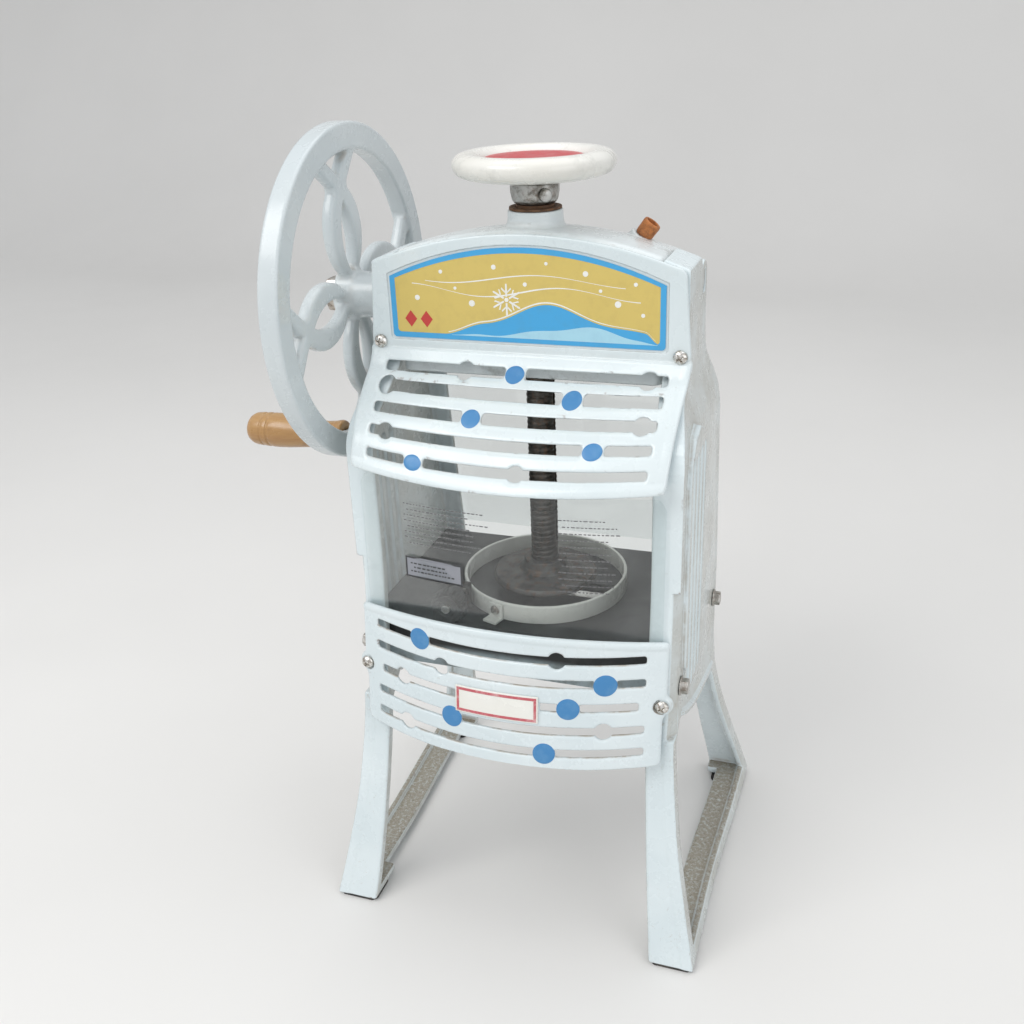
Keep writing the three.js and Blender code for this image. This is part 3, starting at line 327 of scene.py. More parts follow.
def turned(name, profile, axis="z", at=(0, 0, 0), seg=72, r=0.6, closed=False, rings=0, wobble=None):
    """Profile of (radius, height) turned about an axis. Open profiles start and end on the axis."""
    if isinstance(axis, str):
        e = [np.array(v, float) for v in AXES[axis]]
    else:
        e2 = np.array(axis, float) / np.linalg.norm(axis)
        e0 = np.cross([0, 1, 0], e2)
        e0 /= np.linalg.norm(e0)
        e = [e0, np.cross(e2, e0), e2]
    prof = rounded(profile, r, closed=closed)
    verts, faces, loops = [], [], []
    for rad, h in prof:
        if rad < 1e-6:
            loops.append([len(verts)])
            verts.append(np.array(at) + e[2] * h)
        else:
            loops.append(list(range(len(verts), len(verts) + seg)))
            for k in range(seg):
                t = 2 * math.pi * k / seg
                rr = rad if wobble is None else rad + wobble(rad, h, t)
                verts.append(np.array(at) + e[0] * rr * math.cos(t) + e[1] * rr * math.sin(t) + e[2] * h)
    pairs = list(zip(loops, loops[1:])) + ([(loops[-1], loops[0])] if closed else [])
    for a, b in pairs:
        if len(a) == 1 and len(b) == 1:
            continue
        for k in range(seg):
            k2 = (k + 1) % seg
            if len(a) == 1:
                faces.append((a[0], b[k], b[k2]))
            elif len(b) == 1:
                faces.append((a[k], b[0], a[k2]))
            else:
                faces.append((a[k], b[k], b[k2], a[k2]))
    ob = mesh_from(name, verts, faces)
    ob.data.set_sharp_from_angle(angle=math.radians(48))
    return ob


def prism_y(name, outline, y0, y1, bevel=0.0, hole=None):
    """Flat plate in the x-z plane. hole has as many points as outline."""
    n = len(outline)
    if hole is None:
        verts = [(x, y0, z) for x, z in outline] + [(x, y1, z) for x, z in outline]
        faces = [tuple(range(n)), tuple(range(2 * n - 1, n - 1, -1))] + [(i, (i + 1) % n, n + (i + 1) % n, n + i) for i in range(n)]
    else:
        verts = [(x, y, z) for y in (y0, y1) for line in (outline, hole) for x, z in line]
        faces = []
        for i in range(n):
            j = (i + 1) % n
            faces += [(i, j, n + j, n + i), (2 * n + i, 3 * n + i, 3 * n + j, 2 * n + j), (i, 2 * n + i, 2 * n + j, j), (n + i, n + j, 3 * n + j, 3 * n + i)]
    ob = mesh_from(name, verts, faces, smooth=False)
    if bevel:
        m = ob.modifiers.new("edge", "BEVEL")
        m.width, m.segments, m.limit_method, m.angle_limit = bevel / 1000, 2, "ANGLE", math.radians(40)
    return ob


# ------------------------------------------------------------------ materials
class Nodes:
    """Short hand for a material's node tree."""

    def __init__(self, name):
        self.mat = bpy.data.materials.new(name)
        self.mat.use_nodes = True
        self.t = self.mat.node_tree
        self.p = self.t.nodes["Principled BSDF"]
        self.out = self.t.nodes["Material Output"]
        tc = self.t.nodes.new("ShaderNodeTexCoord")
        self.co = tc.outputs["Object"]

    def link(self, a, b):
        self.t.links.new(a, b)
        return b

    def put(self, socket, value):
        if hasattr(value, "is_output"):
            self.t.links.new(value, socket)
        else:
            socket.default_value = value

    def noise(self, scale, detail=4.0, rough=0.55, stretch=None, distort=0.0, offset=(0, 0, 0)):
        n = self.t.nodes.new("ShaderNodeTexNoise")
        n.inputs["Scale"].default_value = scale
        n.inputs["Detail"].default_value = detail
        n.inputs["Roughness"].default_value = rough
        n.inputs["Distortion"].default_value = distort
        m = self.t.nodes.new("ShaderNodeMapping")
        m.inputs["Scale"].default_value = stretch or (1, 1, 1)
        m.inputs["Location"].default_value = offset
        self.link(self.co, m.inputs["Vector"])
        self.link(m.outputs[0], n.inputs["Vector"])
        return n.outputs["Fac"]

    def cells(self, scale, randomness=1.0, feature="F1", stretch=None):
        n = self.t.nodes.new("ShaderNodeTexVoronoi")
        n.feature = feature
        n.inputs["Scale"].default_value = scale
        n.inputs["Randomness"].default_value = randomness
        m = self.t.nodes.new("ShaderNodeMapping")
        m.inputs["Scale"].default_value = stretch or (1, 1, 1)
        self.link(self.co, m.inputs["Vector"])
        self.link(m.outputs[0], n.inputs["Vector"])
        return n.outputs["Distance"]

    def attr(self, name):
        n = self.t.nodes.new("ShaderNodeAttribute")
        n.attribute_name = name
        return n.outputs["Fac"]

    def axis(self, k, normal=False):
        s = self.t.nodes.new("ShaderNodeSeparateXYZ")
        if normal:
            g = self.t.nodes.new("ShaderNodeNewGeometry")
            self.link(g.outputs["Normal"], s.inputs[0])
        else:
            self.link(self.co, s.inputs[0])
        return s.outputs[k]

    def math(self, op, a, b=0.0, c=0.0, clamp=False):
        n = self.t.nodes.new("ShaderNodeMath")
        n.operation = op
        n.use_clamp = clamp
        self.put(n.inputs[0], a)
        self.put(n.inputs[1], b)
        if len(n.inputs) > 2:
            self.put(n.inputs[2], c)
        return n.outputs[0]

    def ramp(self, value, lo, hi, a=0.0, b=1.0):
        n = self.t.nodes.new("ShaderNodeMapRange")
        n.interpolation_type = "SMOOTHSTEP"
        self.put(n.inputs["Value"], value)
        n.inputs["From Min"].default_value = lo
        n.inputs["From Max"].default_value = hi
        n.inputs["To Min"].default_value = a
        n.inputs["To Max"].default_value = b
        return n.outputs["Result"]

    def mix(self, fac, a, b):
        n = self.t.nodes.new("ShaderNodeMix")
        n.data_type = "RGBA"
        self.put(n.inputs[0], fac)
        for s, v in ((n.inputs[6], a), (n.inputs[7], b)):
            if hasattr(v, "is_output"):
                self.link(v, s)
            else:
                s.default_value = (*v, 1)
        return n.outputs[2]

    def bump(self, height, strength, distance, after=None):
        n = self.t.nodes.new("ShaderNodeBump")
        n.inputs["Strength"].default_value = strength
        n.inputs["Distance"].default_value = distance
        self.link(height, n.inputs["Height"])
        if after is not None:
            self.link(after, n.inputs["Normal"])
        return n.outputs[0]

    def done(self, color=None, rough=None, normal=None, metal=0.0, **sockets):
        p = self.p
        if color is not None:
            if hasattr(color, "is_output"):
                self.link(color, p.inputs["Base Color"])
            else:
                p.inputs["Base Color"].default_value = (*color, 1)
        if rough is not None:
            self.put(p.inputs["Roughness"], rough)
        if normal is not None:
            self.link(normal, p.inputs["Normal"])
        self.put(p.inputs["Metallic"], metal)
        for key, value in sockets.items():
            p.inputs[key.replace("_", " ")].default_value = value
        return self.mat


def enamel(name, base, shade, rust=1.0, grime_and_shade=1.0, rails=False, ledge=False, smudge=0.0, dust_and_shade_tint=(0.34, 0.27, 0.19), chip=(0.16, 0.085, 0.05), lumps=1.0):
    """Old gloss enamel on cast iron: faint mottling, dust and painted shade in hollows, rust where edges have lost
    their paint.
    """
    n = Nodes(name)
    edge, cav = n.attr("edge"), n.attr("cav")
    tone = n.mix(n.ramp(n.noise(9, 3), 0.35, 0.68), base, shade)
    # handled, slightly yellowed patches
    tone = n.mix(n.ramp(n.noise(16, 5, 0.6, offset=(3, 1, 0)), 0.58, 0.82, 0, 0.22), tone, (0.62, 0.60, 0.52))
    # dust and grease in the hollows, which also paints in the shade that gathers there
    dust_and_shade = n.math("MULTIPLY", n.ramp(cav, 0.12, 0.75), n.ramp(n.noise(55, 6, 0.65), 0.36, 0.66))
    tone = n.mix(n.math("MULTIPLY", dust_and_shade, 0.5 * grime_and_shade), tone, dust_and_shade_tint)
    fine = n.math("MULTIPLY", n.ramp(n.noise(190, 3, 0.7), 0.64, 0.74), n.ramp(n.noise(14, 2, offset=(0, 5, 2)), 0.45, 0.7))
    tone = n.mix(n.math("MULTIPLY", fine, 0.3 * grime_and_shade), tone, (0.30, 0.25, 0.20))
    if smudge:
        spot = n.math("MULTIPLY", n.ramp(n.noise(38, 6, 0.7, offset=(7, 2, 0)), 0.5, 0.72), n.ramp(n.noise(11, 2, offset=(1, 8, 3)), 0.42, 0.66))
        tone = n.mix(n.math("MULTIPLY", spot, smudge), tone, (0.27, 0.27, 0.25))
    worn = None
    if rails:
        z = n.axis(2)
        up = n.ramp(n.axis(2, normal=True), 0.55, 0.9)
        low = n.ramp(z, 0.016, 0.045, 1, 0)
        near = n.ramp(z, 0.01, 0.13, 0.75, 0)
        patch = n.ramp(n.noise(260, 8, 0.8), 0.24, 0.54)
        worn = n.math("MULTIPLY", n.math("MULTIPLY", up, low), patch)
        tone = n.mix(n.math("MULTIPLY", worn, 0.9), tone, (0.25, 0.215, 0.155))
        pit = n.math("MULTIPLY", n.math("MULTIPLY", up, low), n.ramp(n.noise(420, 5, 0.7, offset=(3, 3, 0)), 0.56, 0.64))
        tone = n.mix(n.math("MULTIPLY", pit, 0.8), tone, (0.16, 0.14, 0.11))
        splash = n.math("MULTIPLY", near, n.ramp(n.noise(240, 7, 0.8, offset=(2, 2, 2)), 0.58, 0.72))
        tone = n.mix(n.math("MULTIPLY", splash, 0.8), tone, (0.30, 0.21, 0.135))
        # faces turned sideways are darkened: painted shade for the sides away from the light, broken up by patchy grime
        side_shade_and_grime = n.math("MULTIPLY", n.ramp(n.math("ABSOLUTE", n.axis(0, normal=True)), 0.7, 0.95), n.ramp(n.noise(22, 6, 0.7, offset=(6, 1, 1)), 0.25, 0.7, 0.30, 0.80))
        tone = n.mix(side_shade_and_grime, tone, (0.41, 0.40, 0.355))
        if ledge:
            band = n.math("MULTIPLY", n.ramp(z, 0.165, 0.2), n.ramp(z, 0.235, 0.30, 1, 0))
            speck = n.math("MULTIPLY", band, n.ramp(n.noise(280, 7, 0.8, offset=(4, 0, 1)), 0.56, 0.68))
            tone = n.mix(n.math("MULTIPLY", speck, 0.6), tone, (0.38, 0.29, 0.18))
    # bare, rusty specks on edges
    speck = n.math("MULTIPLY", n.ramp(edge, 0.18, 0.55), n.ramp(n.noise(75, 6, 0.75, offset=(9, 0, 4)), 0.60 - 0.03 * rust, 0.67 - 0.02 * rust))
    tone = n.mix(n.math("MULTIPLY", speck, 0.9 * min(1, rust)), tone, chip)
    peel = n.noise(420, 2, 0.4)
    cast_ = n.noise(60, 3, 0.5)
    normal = n.bump(peel, 0.10, 0.00025)
    normal = n.bump(cast_, 0.22 * lumps, 0.0009, normal)
    normal = n.bump(n.math("SUBTRACT", 1.0, speck), 0.5, 0.0003, normal)
    rough = n.math("ADD", n.ramp(n.noise(30, 5, 0.65), 0.3, 0.75, 0.2, 0.38), n.math("MULTIPLY", n.math("ADD", dust_and_shade, speck), 0.35))
    if worn is not None:
        rough = n.math("ADD", rough, n.math("MULTIPLY", worn, 0.35))
    return n.done(tone, rough, normal, Specular_IOR_Level=0.5, Coat_Weight=0.25, Coat_Roughness=0.12)


def metal(name, base, dark, rough=(0.25, 0.5), scale=60, brush=None, rust=0.0, metallic=1.0):
    n = Nodes(name)
    grime_and_shade = n.ramp(n.noise(scale, 6, 0.7), 0.42, 0.68)
    tone = n.mix(grime_and_shade, base, dark)
    if rust:
        tone = n.mix(n.math("MULTIPLY", n.ramp(n.noise(scale * 1.7, 7, 0.75, offset=(5, 3, 1)), 0.5, 0.62), rust), tone, (0.20, 0.095, 0.045))
    line = n.noise(30, 4, 0.6, stretch=brush or (1, 1, 1)) if brush else n.noise(500, 3, 0.6)
    normal = n.bump(line, 0.25, 0.00012)
    normal = n.bump(n.noise(scale * 3, 5, 0.7), 0.25, 0.0003, normal)
    return n.done(tone, n.ramp(n.noise(scale * 0.8, 5, 0.7, offset=(1, 2, 3)), 0.3, 0.7, *rough), normal, metallic)


def plastic(name, base, dark, rough=(0.35, 0.55), metallic=0.0, grain=400, dirt=0.4):
    n = Nodes(name)
    tone = n.mix(n.math("MULTIPLY", n.ramp(n.noise(70, 6, 0.7), 0.45, 0.7), dirt), base, dark)
    normal = n.bump(n.noise(grain, 3, 0.6), 0.2, 0.0002)
    return n.done(tone, n.ramp(n.noise(40, 5, 0.65, offset=(2, 4, 1)), 0.3, 0.7, *rough), normal, metallic)


PAINT = enamel("enamel_pale", (0.665, 0.732, 0.748), (0.605, 0.68, 0.70), rust=0.5, grime_and_shade=0.8)
PAINT_FRAME = enamel("enamel_frame", (0.685, 0.757, 0.777), (0.62, 0.70, 0.725), rust=1.0, grime_and_shade=1.2, rails=True, ledge=True)
PAINT_HEAD = enamel("enamel_head", (0.71, 0.76, 0.77), (0.65, 0.705, 0.72), rust=0.6, grime_and_shade=1.4, smudge=0.85)
PAINT_GRILLE = enamel("enamel_grille", (0.67, 0.74, 0.76), (0.61, 0.69, 0.715), rust=1.4, grime_and_shade=1.6)
# the flywheel has the frame's pale paint; this darker copy is painted shade for a wheel turned away from the light
PAINT_WHEEL_SHADED = enamel("enamel_wheel_shaded", (0.575, 0.625, 0.64), (0.51, 0.565, 0.585), rust=0.6, grime_and_shade=0.9)
WHITE = enamel("enamel_white", (0.80, 0.80, 0.76), (0.74, 0.73, 0.67), rust=0.5, grime_and_shade=1.2, smudge=0.35, dust_and_shade_tint=(0.36, 0.28, 0.16))
RED = plastic("enamel_red", (0.50, 0.035, 0.045), (0.30, 0.02, 0.03), (0.3, 0.45), dirt=0.5)
CHROME = metal("chrome_dull", (0.78, 0.77, 0.74), (0.30, 0.27, 0.22), (0.12, 0.34), 260, rust=0.35)
STEEL = metal("steel_worn", (0.58, 0.57, 0.54), (0.24, 0.21, 0.18), (0.25, 0.5), 130, rust=0.35)
STEEL_HUB = metal("steel_stained", (0.50, 0.50, 0.48), (0.16, 0.15, 0.13), (0.28, 0.5), 110, rust=0.2)
BLADE = metal("steel_blade", (0.74, 0.74, 0.72), (0.45, 0.44, 0.42), (0.14, 0.28), 90, brush=(8, 8, 1))
IRON = metal("iron_dark", (0.13, 0.125, 0.12), (0.055, 0.05, 0.045), (0.4, 0.65), 90, rust=0.5)
BRASS = metal("brass_old", (0.62, 0.43, 0.16), (0.30, 0.20, 0.09), (0.25, 0.45), 90)
RUSTED = metal("iron_rusted", (0.17, 0.095, 0.055), (0.075, 0.045, 0.03), (0.6, 0.85), 140, rust=0.8, metallic=0.45)
PLUG = metal("plug_orange", (0.50, 0.185, 0.055), (0.24, 0.085, 0.03), (0.5, 0.75), 200, rust=0.5, metallic=0.15)
BLACK = plastic("black_paint", (0.028, 0.027, 0.026), (0.075, 0.07, 0.062), (0.3, 0.55), dirt=0.7)
KNOB = plastic("black_plastic", (0.022, 0.021, 0.02), (0.06, 0.056, 0.05), (0.3, 0.5), dirt=0.6)
RUBBER = plastic("rubber_black", (0.03, 0.028, 0.027), (0.10, 0.085, 0.07), (0.65, 0.9), grain=250, dirt=0.8)
RING = enamel("ring_offwhite", (0.74, 0.735, 0.69), (0.66, 0.655, 0.60), rust=0.5, grime_and_shade=1.2, smudge=0.3)
GOLD = plastic("print_gold", (0.61, 0.47, 0.135), (0.53, 0.40, 0.12), (0.3, 0.42), grain=900, dirt=0.5)
ICE = plastic("print_pale_blue", (0.36, 0.62, 0.74), (0.30, 0.52, 0.66), (0.3, 0.42), grain=900, dirt=0.4)
NOTICE = plastic("print_grey", (0.15, 0.15, 0.155), (0.24, 0.24, 0.235), (0.35, 0.5), grain=900, dirt=0.3)
LABEL = plastic("label_silver", (0.26, 0.27, 0.30), (0.21, 0.22, 0.245), (0.5, 0.65), metallic=0.0, grain=700, dirt=0.4)
BORDER = plastic("label_black", (0.04, 0.042, 0.045), (0.07, 0.07, 0.07), (0.35, 0.5), grain=700, dirt=0.4)
BLUE = plastic("print_blue", (0.055, 0.35, 0.66), (0.07, 0.31, 0.55), (0.3, 0.42), grain=900, dirt=0.5)
PRINT_WHITE = plastic("print_white", (0.78, 0.78, 0.74), (0.66, 0.65, 0.58), (0.3, 0.42), grain=900, dirt=0.4)
PRINT_RED = plastic("print_red", (0.50, 0.045, 0.04), (0.36, 0.03, 0.03), (0.3, 0.42), grain=900, dirt=0.4)
DOT = plastic("roundel_blue", (0.05, 0.215, 0.46), (0.10, 0.27, 0.49), (0.28, 0.45), grain=300, dirt=0.6)
WORN_RED = plastic("badge_red", (0.50, 0.10, 0.12), (0.66, 0.40, 0.40), (0.35, 0.5), dirt=0.9)


def table_finish():
    """Black top plate over a painted rail."""
    n = Nodes("table_black_and_enamel")
    z = n.axis(2)
    dark = n.mix(n.math("MULTIPLY", n.ramp(n.noise(45, 6, 0.7), 0.45, 0.7), 0.5), (0.034, 0.034, 0.034), (0.075, 0.073, 0.068))
    pale = n.mix(n.ramp(n.noise(60, 6, 0.7, offset=(2, 2, 1)), 0.42, 0.7), (0.40, 0.47, 0.50), (0.26, 0.29, 0.29))
    rail = n.math("MULTIPLY", n.ramp(z, 0.258, 0.266, 1, 0), n.ramp(n.axis(1), -0.0870, -0.0866, 1, 0))
    tone = n.mix(rail, dark, pale)
    normal = n.bump(n.noise(60, 3, 0.5), 0.2, 0.0006)
    return n.done(tone, n.ramp(n.noise(40, 5, 0.65, offset=(2, 4, 1)), 0.3, 0.7, 0.32, 0.55), normal)


TABLE = table_finish()


def wood():
    n = Nodes("wood_varnished")
    grain = n.noise(26, 6, 0.6, stretch=(0.12, 1.6, 1.6), distort=0.6)
    lines = n.noise(120, 4, 0.6, stretch=(0.05, 1.5, 1.5), offset=(2, 0, 0))
    tone = n.mix(n.ramp(grain, 0.35, 0.68), (0.45, 0.262, 0.098), (0.34, 0.178, 0.06))
    tone = n.mix(n.ramp(lines, 0.52, 0.75, 0, 0.55), tone, (0.30, 0.13, 0.04))
    tone = n.mix(n.ramp(n.noise(60, 6, 0.7, offset=(4, 4, 4)), 0.56, 0.74, 0, 0.4), tone, (0.22, 0.10, 0.04))
    normal = n.bump(lines, 0.25, 0.0003)
    return n.done(tone, n.ramp(n.noise(45, 5, 0.6), 0.3, 0.7, 0.24, 0.42), normal, Coat_Weight=0.4, Coat_Roughness=0.18)


WOOD = wood()


def clear_sheet():
    """Thin clear plastic: see-through, with scratches, haze and a gloss that grows at grazing angles."""
    n = Nodes("clear_plastic")
    t = n.t
    trans = t.nodes.new("ShaderNodeBsdfTransparent")
    trans.inputs["Color"].default_value = (0.95, 0.965, 0.965, 1)
    gloss = t.nodes.new("ShaderNodeBsdfGlossy")
    gloss.inputs["Color"].default_value = (1, 1, 1, 1)
    n.link(n.ramp(n.noise(35, 6, 0.7), 0.35, 0.75, 0.03, 0.10), gloss.inputs["Roughness"])
    haze = t.nodes.new("ShaderNodeBsdfDiffuse")
    haze.inputs["Color"].default_value = (0.80, 0.82, 0.82, 1)
    lw = t.nodes.new("ShaderNodeFresnel")
    lw.inputs["IOR"].default_value = 1.49
    scratch = n.ramp(n.noise(90, 4, 0.7, stretch=(1, 1, 0.06), distort=0.4), 0.66, 0.76, 0, 0.05)
    cloud = n.ramp(n.noise(24, 6, 0.7, offset=(1, 1, 6)), 0.4, 0.75, 0.006, 0.03)
    hz = n.math("ADD", scratch, cloud, clamp=True)
    m1 = t.nodes.new("ShaderNodeMixShader")
    n.link(hz, m1.inputs[0])
    n.link(trans.outputs[0], m1.inputs[1])
    n.link(haze.outputs[0], m1.inputs[2])
    m2 = t.nodes.new("ShaderNodeMixShader")
    n.link(n.math("MINIMUM", n.math("MULTIPLY", lw.outputs[0], 0.75), 0.17), m2.inputs[0])
    n.link(m1.outputs[0], m2.inputs[1])
    n.link(gloss.outputs[0], m2.inputs[2])
    bumped = n.bump(n.noise(7, 2, 0.4), 0.10, 0.002)
    n.link(bumped, gloss.inputs["Normal"])
    n.link(m2.outputs[0], n.out.inputs["Surface"])
    t.nodes.remove(n.p)
    return n.mat


CLEAR = clear_sheet()


# ------------------------------------------------------------------ side frames
def dense(fn, a, b, n):
    return [(float(fn(z)), float(z)) for z in np.linspace(a, b, n)]


ARCH = spline([(-82, 224), (-60, 213), (-30, 201), (10, 190), (50, 182), (78, 176)])
TOP = [(14, 606), (16, 592)] + [(30.5 + 11 * math.cos(t), 577.5 + 11 * math.sin(t)) for t in np.linspace(math.pi * 0.92, math.pi * 0.08, 9)]
OUTLINE = poly(dense(front_y, 3.3, 606, 90) + TOP + dense(rear_y, 577.5, 3.3, 70))


def leg_hole(d, bottom):
    fr = [(float(front_y(z)) + d, z) for z in np.linspace(bottom, 205, 26)]
    top = [(y, float(ARCH(y))) for y in np.linspace(-80, 76, 18)]
    re = [(float(rear_y(z)) - d, z) for z in np.linspace(150, bottom, 18)]
    return poly(fr + top + re)


HOLE_WALL, HOLE_RIB = leg_hole(17, 16), leg_hole(10, 11.5)
COLUMN = poly([(float(front_y(z)) + 10, z) for z in np.linspace(236, 511, 45)] + [(-25.4, 572), (22, 572)] + [(float(rear_y(z)) - 7, z) for z in np.linspace(560, 200, 50)] + [(y, float(ARCH(y)) + 8) for y in np.linspace(78, -82, 14)])
PAD = poly([(-10, 448), (-22, 464), (-42, 473), (-62, 468), (-76, 452), (-80, 430), (-80, 270), (-72, 263), (-66, 238), (-12, 226), (-8, 300), (-6, 420)])


def side_field(left):
    def f(x, y, z):
        s = np.clip((y + 60) / 200, 0, 1)
        x = x - np.where(z < 170, 6.8 * s * s * (3 - 2 * s) * (1 - z / 170), 0)
        out, inn = outer_x(z), inner_x(z)
        body = OUTLINE(y, z)
        wall = smax(smax(body, slab(x, out - 6, out), 3.5), -HOLE_WALL(y, z), 3)
        rib = smax(smax(smax(body, slab(x, inn, out - 1), 3.5), -HOLE_RIB(y, z), 3), -COLUMN(y, z), 4)
        # the base rail is set outwards of the leg's inner edge, past the foot flange
        cut = np.maximum(np.maximum(slab(y, -105, 131), z - 14), x - 142)
        rib = smax(rib, -cut, 3)
        web = np.maximum(np.maximum(slab(y, -72, 82), slab(z, 176, 240)), x - 137.2)
        rib = smax(rib, -web, 3)
        d = smin(wall, rib, 5)
        inner = smax(smax(OUTLINE(y, z), slab(x, 113, 118), 1.5), 520 - z, 2)
        d = smin(d, inner, 3)
        lip = smax(smax(slab(x, 139, 148), slab(z - ARCH(y), 0, 5), 2.5), slab(y, -82, 78), 2)
        d = smin(d, lip, 4)
        pad = smax(PAD(y, z), slab(x, 138, 147.2), 3)
        for c in (-67, -51, -35, -19):
            groove = smax(np.hypot(x - 149.3, y - c) - 5.7, slab(z, 238, 453), 4)
            pad = smax(pad, -groove, 1.4)
        d = smin(d, pad, 1.6)
        # matching hollows on the inner face
        for c in (-67, -51, -35, -19):
            groove = smax(np.hypot(x - 135.4, y - c) - 4.9, slab(z, 262, 440), 4)
            d = smax(d, -groove, 1.2)
        d = np.maximum(d, body - 0.3)
        roof = 594 + 26 * (1 - (np.minimum(np.abs(x), 132) / 132) ** 2)
        d = smax(d, np.minimum(z - roof, 60) + np.where(y < 16, 0, -200), 3)
        d = smax(d, -np.maximum(rrect(y, z, 26.5, 34.5, 562, 582, 3.9), slab(x, 100, 160)), 1.5)
        # chamfer on the outer edge of the front column
        line = np.interp(z, [215, 250, 345], [-3, -1, 8.6])
        ch = np.maximum(((143.3 - x) * 0.898 + (y + 91 - line) * 0.44), slab(z, 213, 347))
        d = smax(d, -np.maximum(ch, y + 91 - line), 2)
        if left:
            d = smax(d, 15 - np.hypot(y, z - 556) + np.where(x > 100, 0, -200), 1)
        return d

    return f


for side in ("right", "left"):
    cast(f"frame_casting_{side}", side_field(side == "left"), (109, -153, 0.5), (183, 158.5, 620), 1.55, "frame", PAINT_FRAME, [f"side_frame_{side}"], mirror=side == "left", faces=130000)


# ------------------------------------------------------------------ head casting
def tilted(x, y, z):
    """Distance from the filler's axis and height along it."""
    a = math.radians(37)
    dx, dz = x - 82, z - 606
    h = dx * math.sin(a) + dz * math.cos(a)
    u = dx * math.cos(a) - dz * math.sin(a)
    return np.hypot(u, y - 26), h


def head_field(x, y, z):
    fall = 0.16 * smax(y * 1.0, np.zeros_like(y), 14)
    roof = 601.1 + 18.9 * (1 - (np.clip(x, -113, 113) / 112.6) ** 2) - fall
    d = smax(smax((z - roof) * 0.96, slab(x, -112.6, 112.6), 4), slab(y, -35.4, 42), 9)
    d = smax(d, 500 - z, 2)
    boss = np.interp(z, [600, 607, 613, 619, 625, 632], [30, 27.4, 25.0, 23.5, 22.8, 22.5])
    d = smin(d, smax(np.hypot(x, y) - boss, slab(z, 590, 631.7), 1.2), 4)
    rad, h = tilted(x, y, z)
    d = smin(d, smax(rad - 10.5, slab(h, -14, 1.5), 1.2), 4)
    side = np.hypot(y, z - 556)
    d = smin(d, smax(side - 21, slab(x, -130.6, -105), 2), 3)
    cavity = smax(smax(np.abs(x) - 106.6, slab(y, -29.4, 36), 2), smax(508 - z, z - (593 + 18 * (1 - (np.clip(x, -107, 107) / 106.6) ** 2) - fall), 2), 2)
    d = smax(d, -cavity, 1)
    d = smax(d, -np.maximum(np.hypot(x, y) - 23.9, z - 520), 0.6)
    d = smax(d, -np.maximum(np.hypot(x, y) - 13.3, 590 - z), 0.6)
    d = smax(d, -np.maximum(side - 13.8, x + 80), 0.6)
    return smax(d, -(rad - 6.4 + np.where(h < -25, 200, 0)), 0.5)


cast("head_housing", head_field, (-134, -37, 498), (116, 44, 634), 1.5, "frame", PAINT_HEAD, ["head_casting"], faces=80000)


# ------------------------------------------------------------------ upper front cover
def hood_t(z):
    return np.clip((520.5 - z) / 80.5, 0, 1)


def hood_point(x, z):
    """Flat hood coordinates to the front surface of the hood."""
    t, k = hood_t(z), 1 - (x / 131) ** 2
    return np.stack([x * (136.5 - 5.5 * t) / 132, hood_y(z) - 19 * t * k, z - 5 * t * k], -1)


def fascia_outline(grow=0.0, n=44):
    pts = [(-136.5 - grow, 515), (136.5 + grow, 515), (136.1 + grow, 530), (132 + grow, 586)]
    pts += [(124 + (8 + grow) * math.cos(t), 588 + (8 + grow) * math.sin(t)) for t in np.linspace(0.15, 1.4, 6)]
    pts += [(x, 596 + grow + 22.5 * (1 - (x / 124) ** 2)) for x in np.linspace(120, -120, n)]
    pts += [(-124 - (8 + grow) * math.cos(t), 588 + (8 + grow) * math.sin(t)) for t in np.linspace(1.4, 0.15, 6)]
    return pts + [(-132 - grow, 586), (-136.1 - grow, 530)]


def arched(half, z0, shoulder, rise, n=40, r=3.0):
    """Flat-bottomed outline with an arched top and small corner curves."""
    pts = []
    for cx, a0, a1 in ((-half + r, 180, 270), (half - r, 270, 360)):
        pts += [(cx + r * math.cos(math.radians(a)), z0 + r + r * math.sin(math.radians(a))) for a in np.linspace(a0, a1, 5)]
    pts += [(x, shoulder + rise * (1 - (x / half) ** 2)) for x in np.linspace(half, -half, n)]
    return pts


FASCIA, RECESS = poly(fascia_outline()), poly(arched(118, 529, 584, 26))
CHEEK = poly([(float(hood_y(z)) + 1.5, z) for z in np.linspace(520.5, 440, 24)] + [(float(front_y(z)) - 1.5, z) for z in np.linspace(440, 520.5, 24)])


def upper_field(x, y, z):
    x0, z0 = x + 0 * z, z + 0 * x
    for _ in range(5):
        t = hood_t(z0)
        x0 = x * 132 / (136.5 - 5.5 * t)
        z0 = z + 5 * t * (1 - (x0 / 131) ** 2)
    t, k = hood_t(z0), 1 - (x0 / 131) ** 2
    slope = (hood_y(z0 + 1.5) - hood_y(z0 - 1.5)) / 3
    c = 1 / np.sqrt(1 + slope ** 2)
    y0 = (y - (hood_y(z0) - 19 * t * k)) * c
    flat = rrect(x0, z0, -132, 132, 440, 540, 7)
    region = smax(flat, -slots_field(x0, z0, HOOD_SLOTS, 5.9, 6.9, 5.2), 1.2)
    d = smax(region, slab(y0, 0, 5 * c), 3.0)
    d = smax(d, z0 - 521.5, 1)
    # a thicker lower lip
    lip = smax(smax(slab(z0, 440, 446), np.abs(x0) - 131, 4), slab(y0, -0.8, 4.2), 3)
    d = smin(d, lip, 3)
    half = 132 * (136.5 - 5.5 * hood_t(z)) / 132
    cheek = smax(CHEEK(y, z), slab(np.abs(x), half * 127.5 / 132, half), 2)
    d = smin(d, cheek, 3)
    face = smax(FASCIA(x, z), slab(y, -40, -35.7), 2.2)
    face = smax(face, -np.maximum(RECESS(x, z), y + 38.6), 0.7)
    d = smin(d, face, 2.5)
    return d


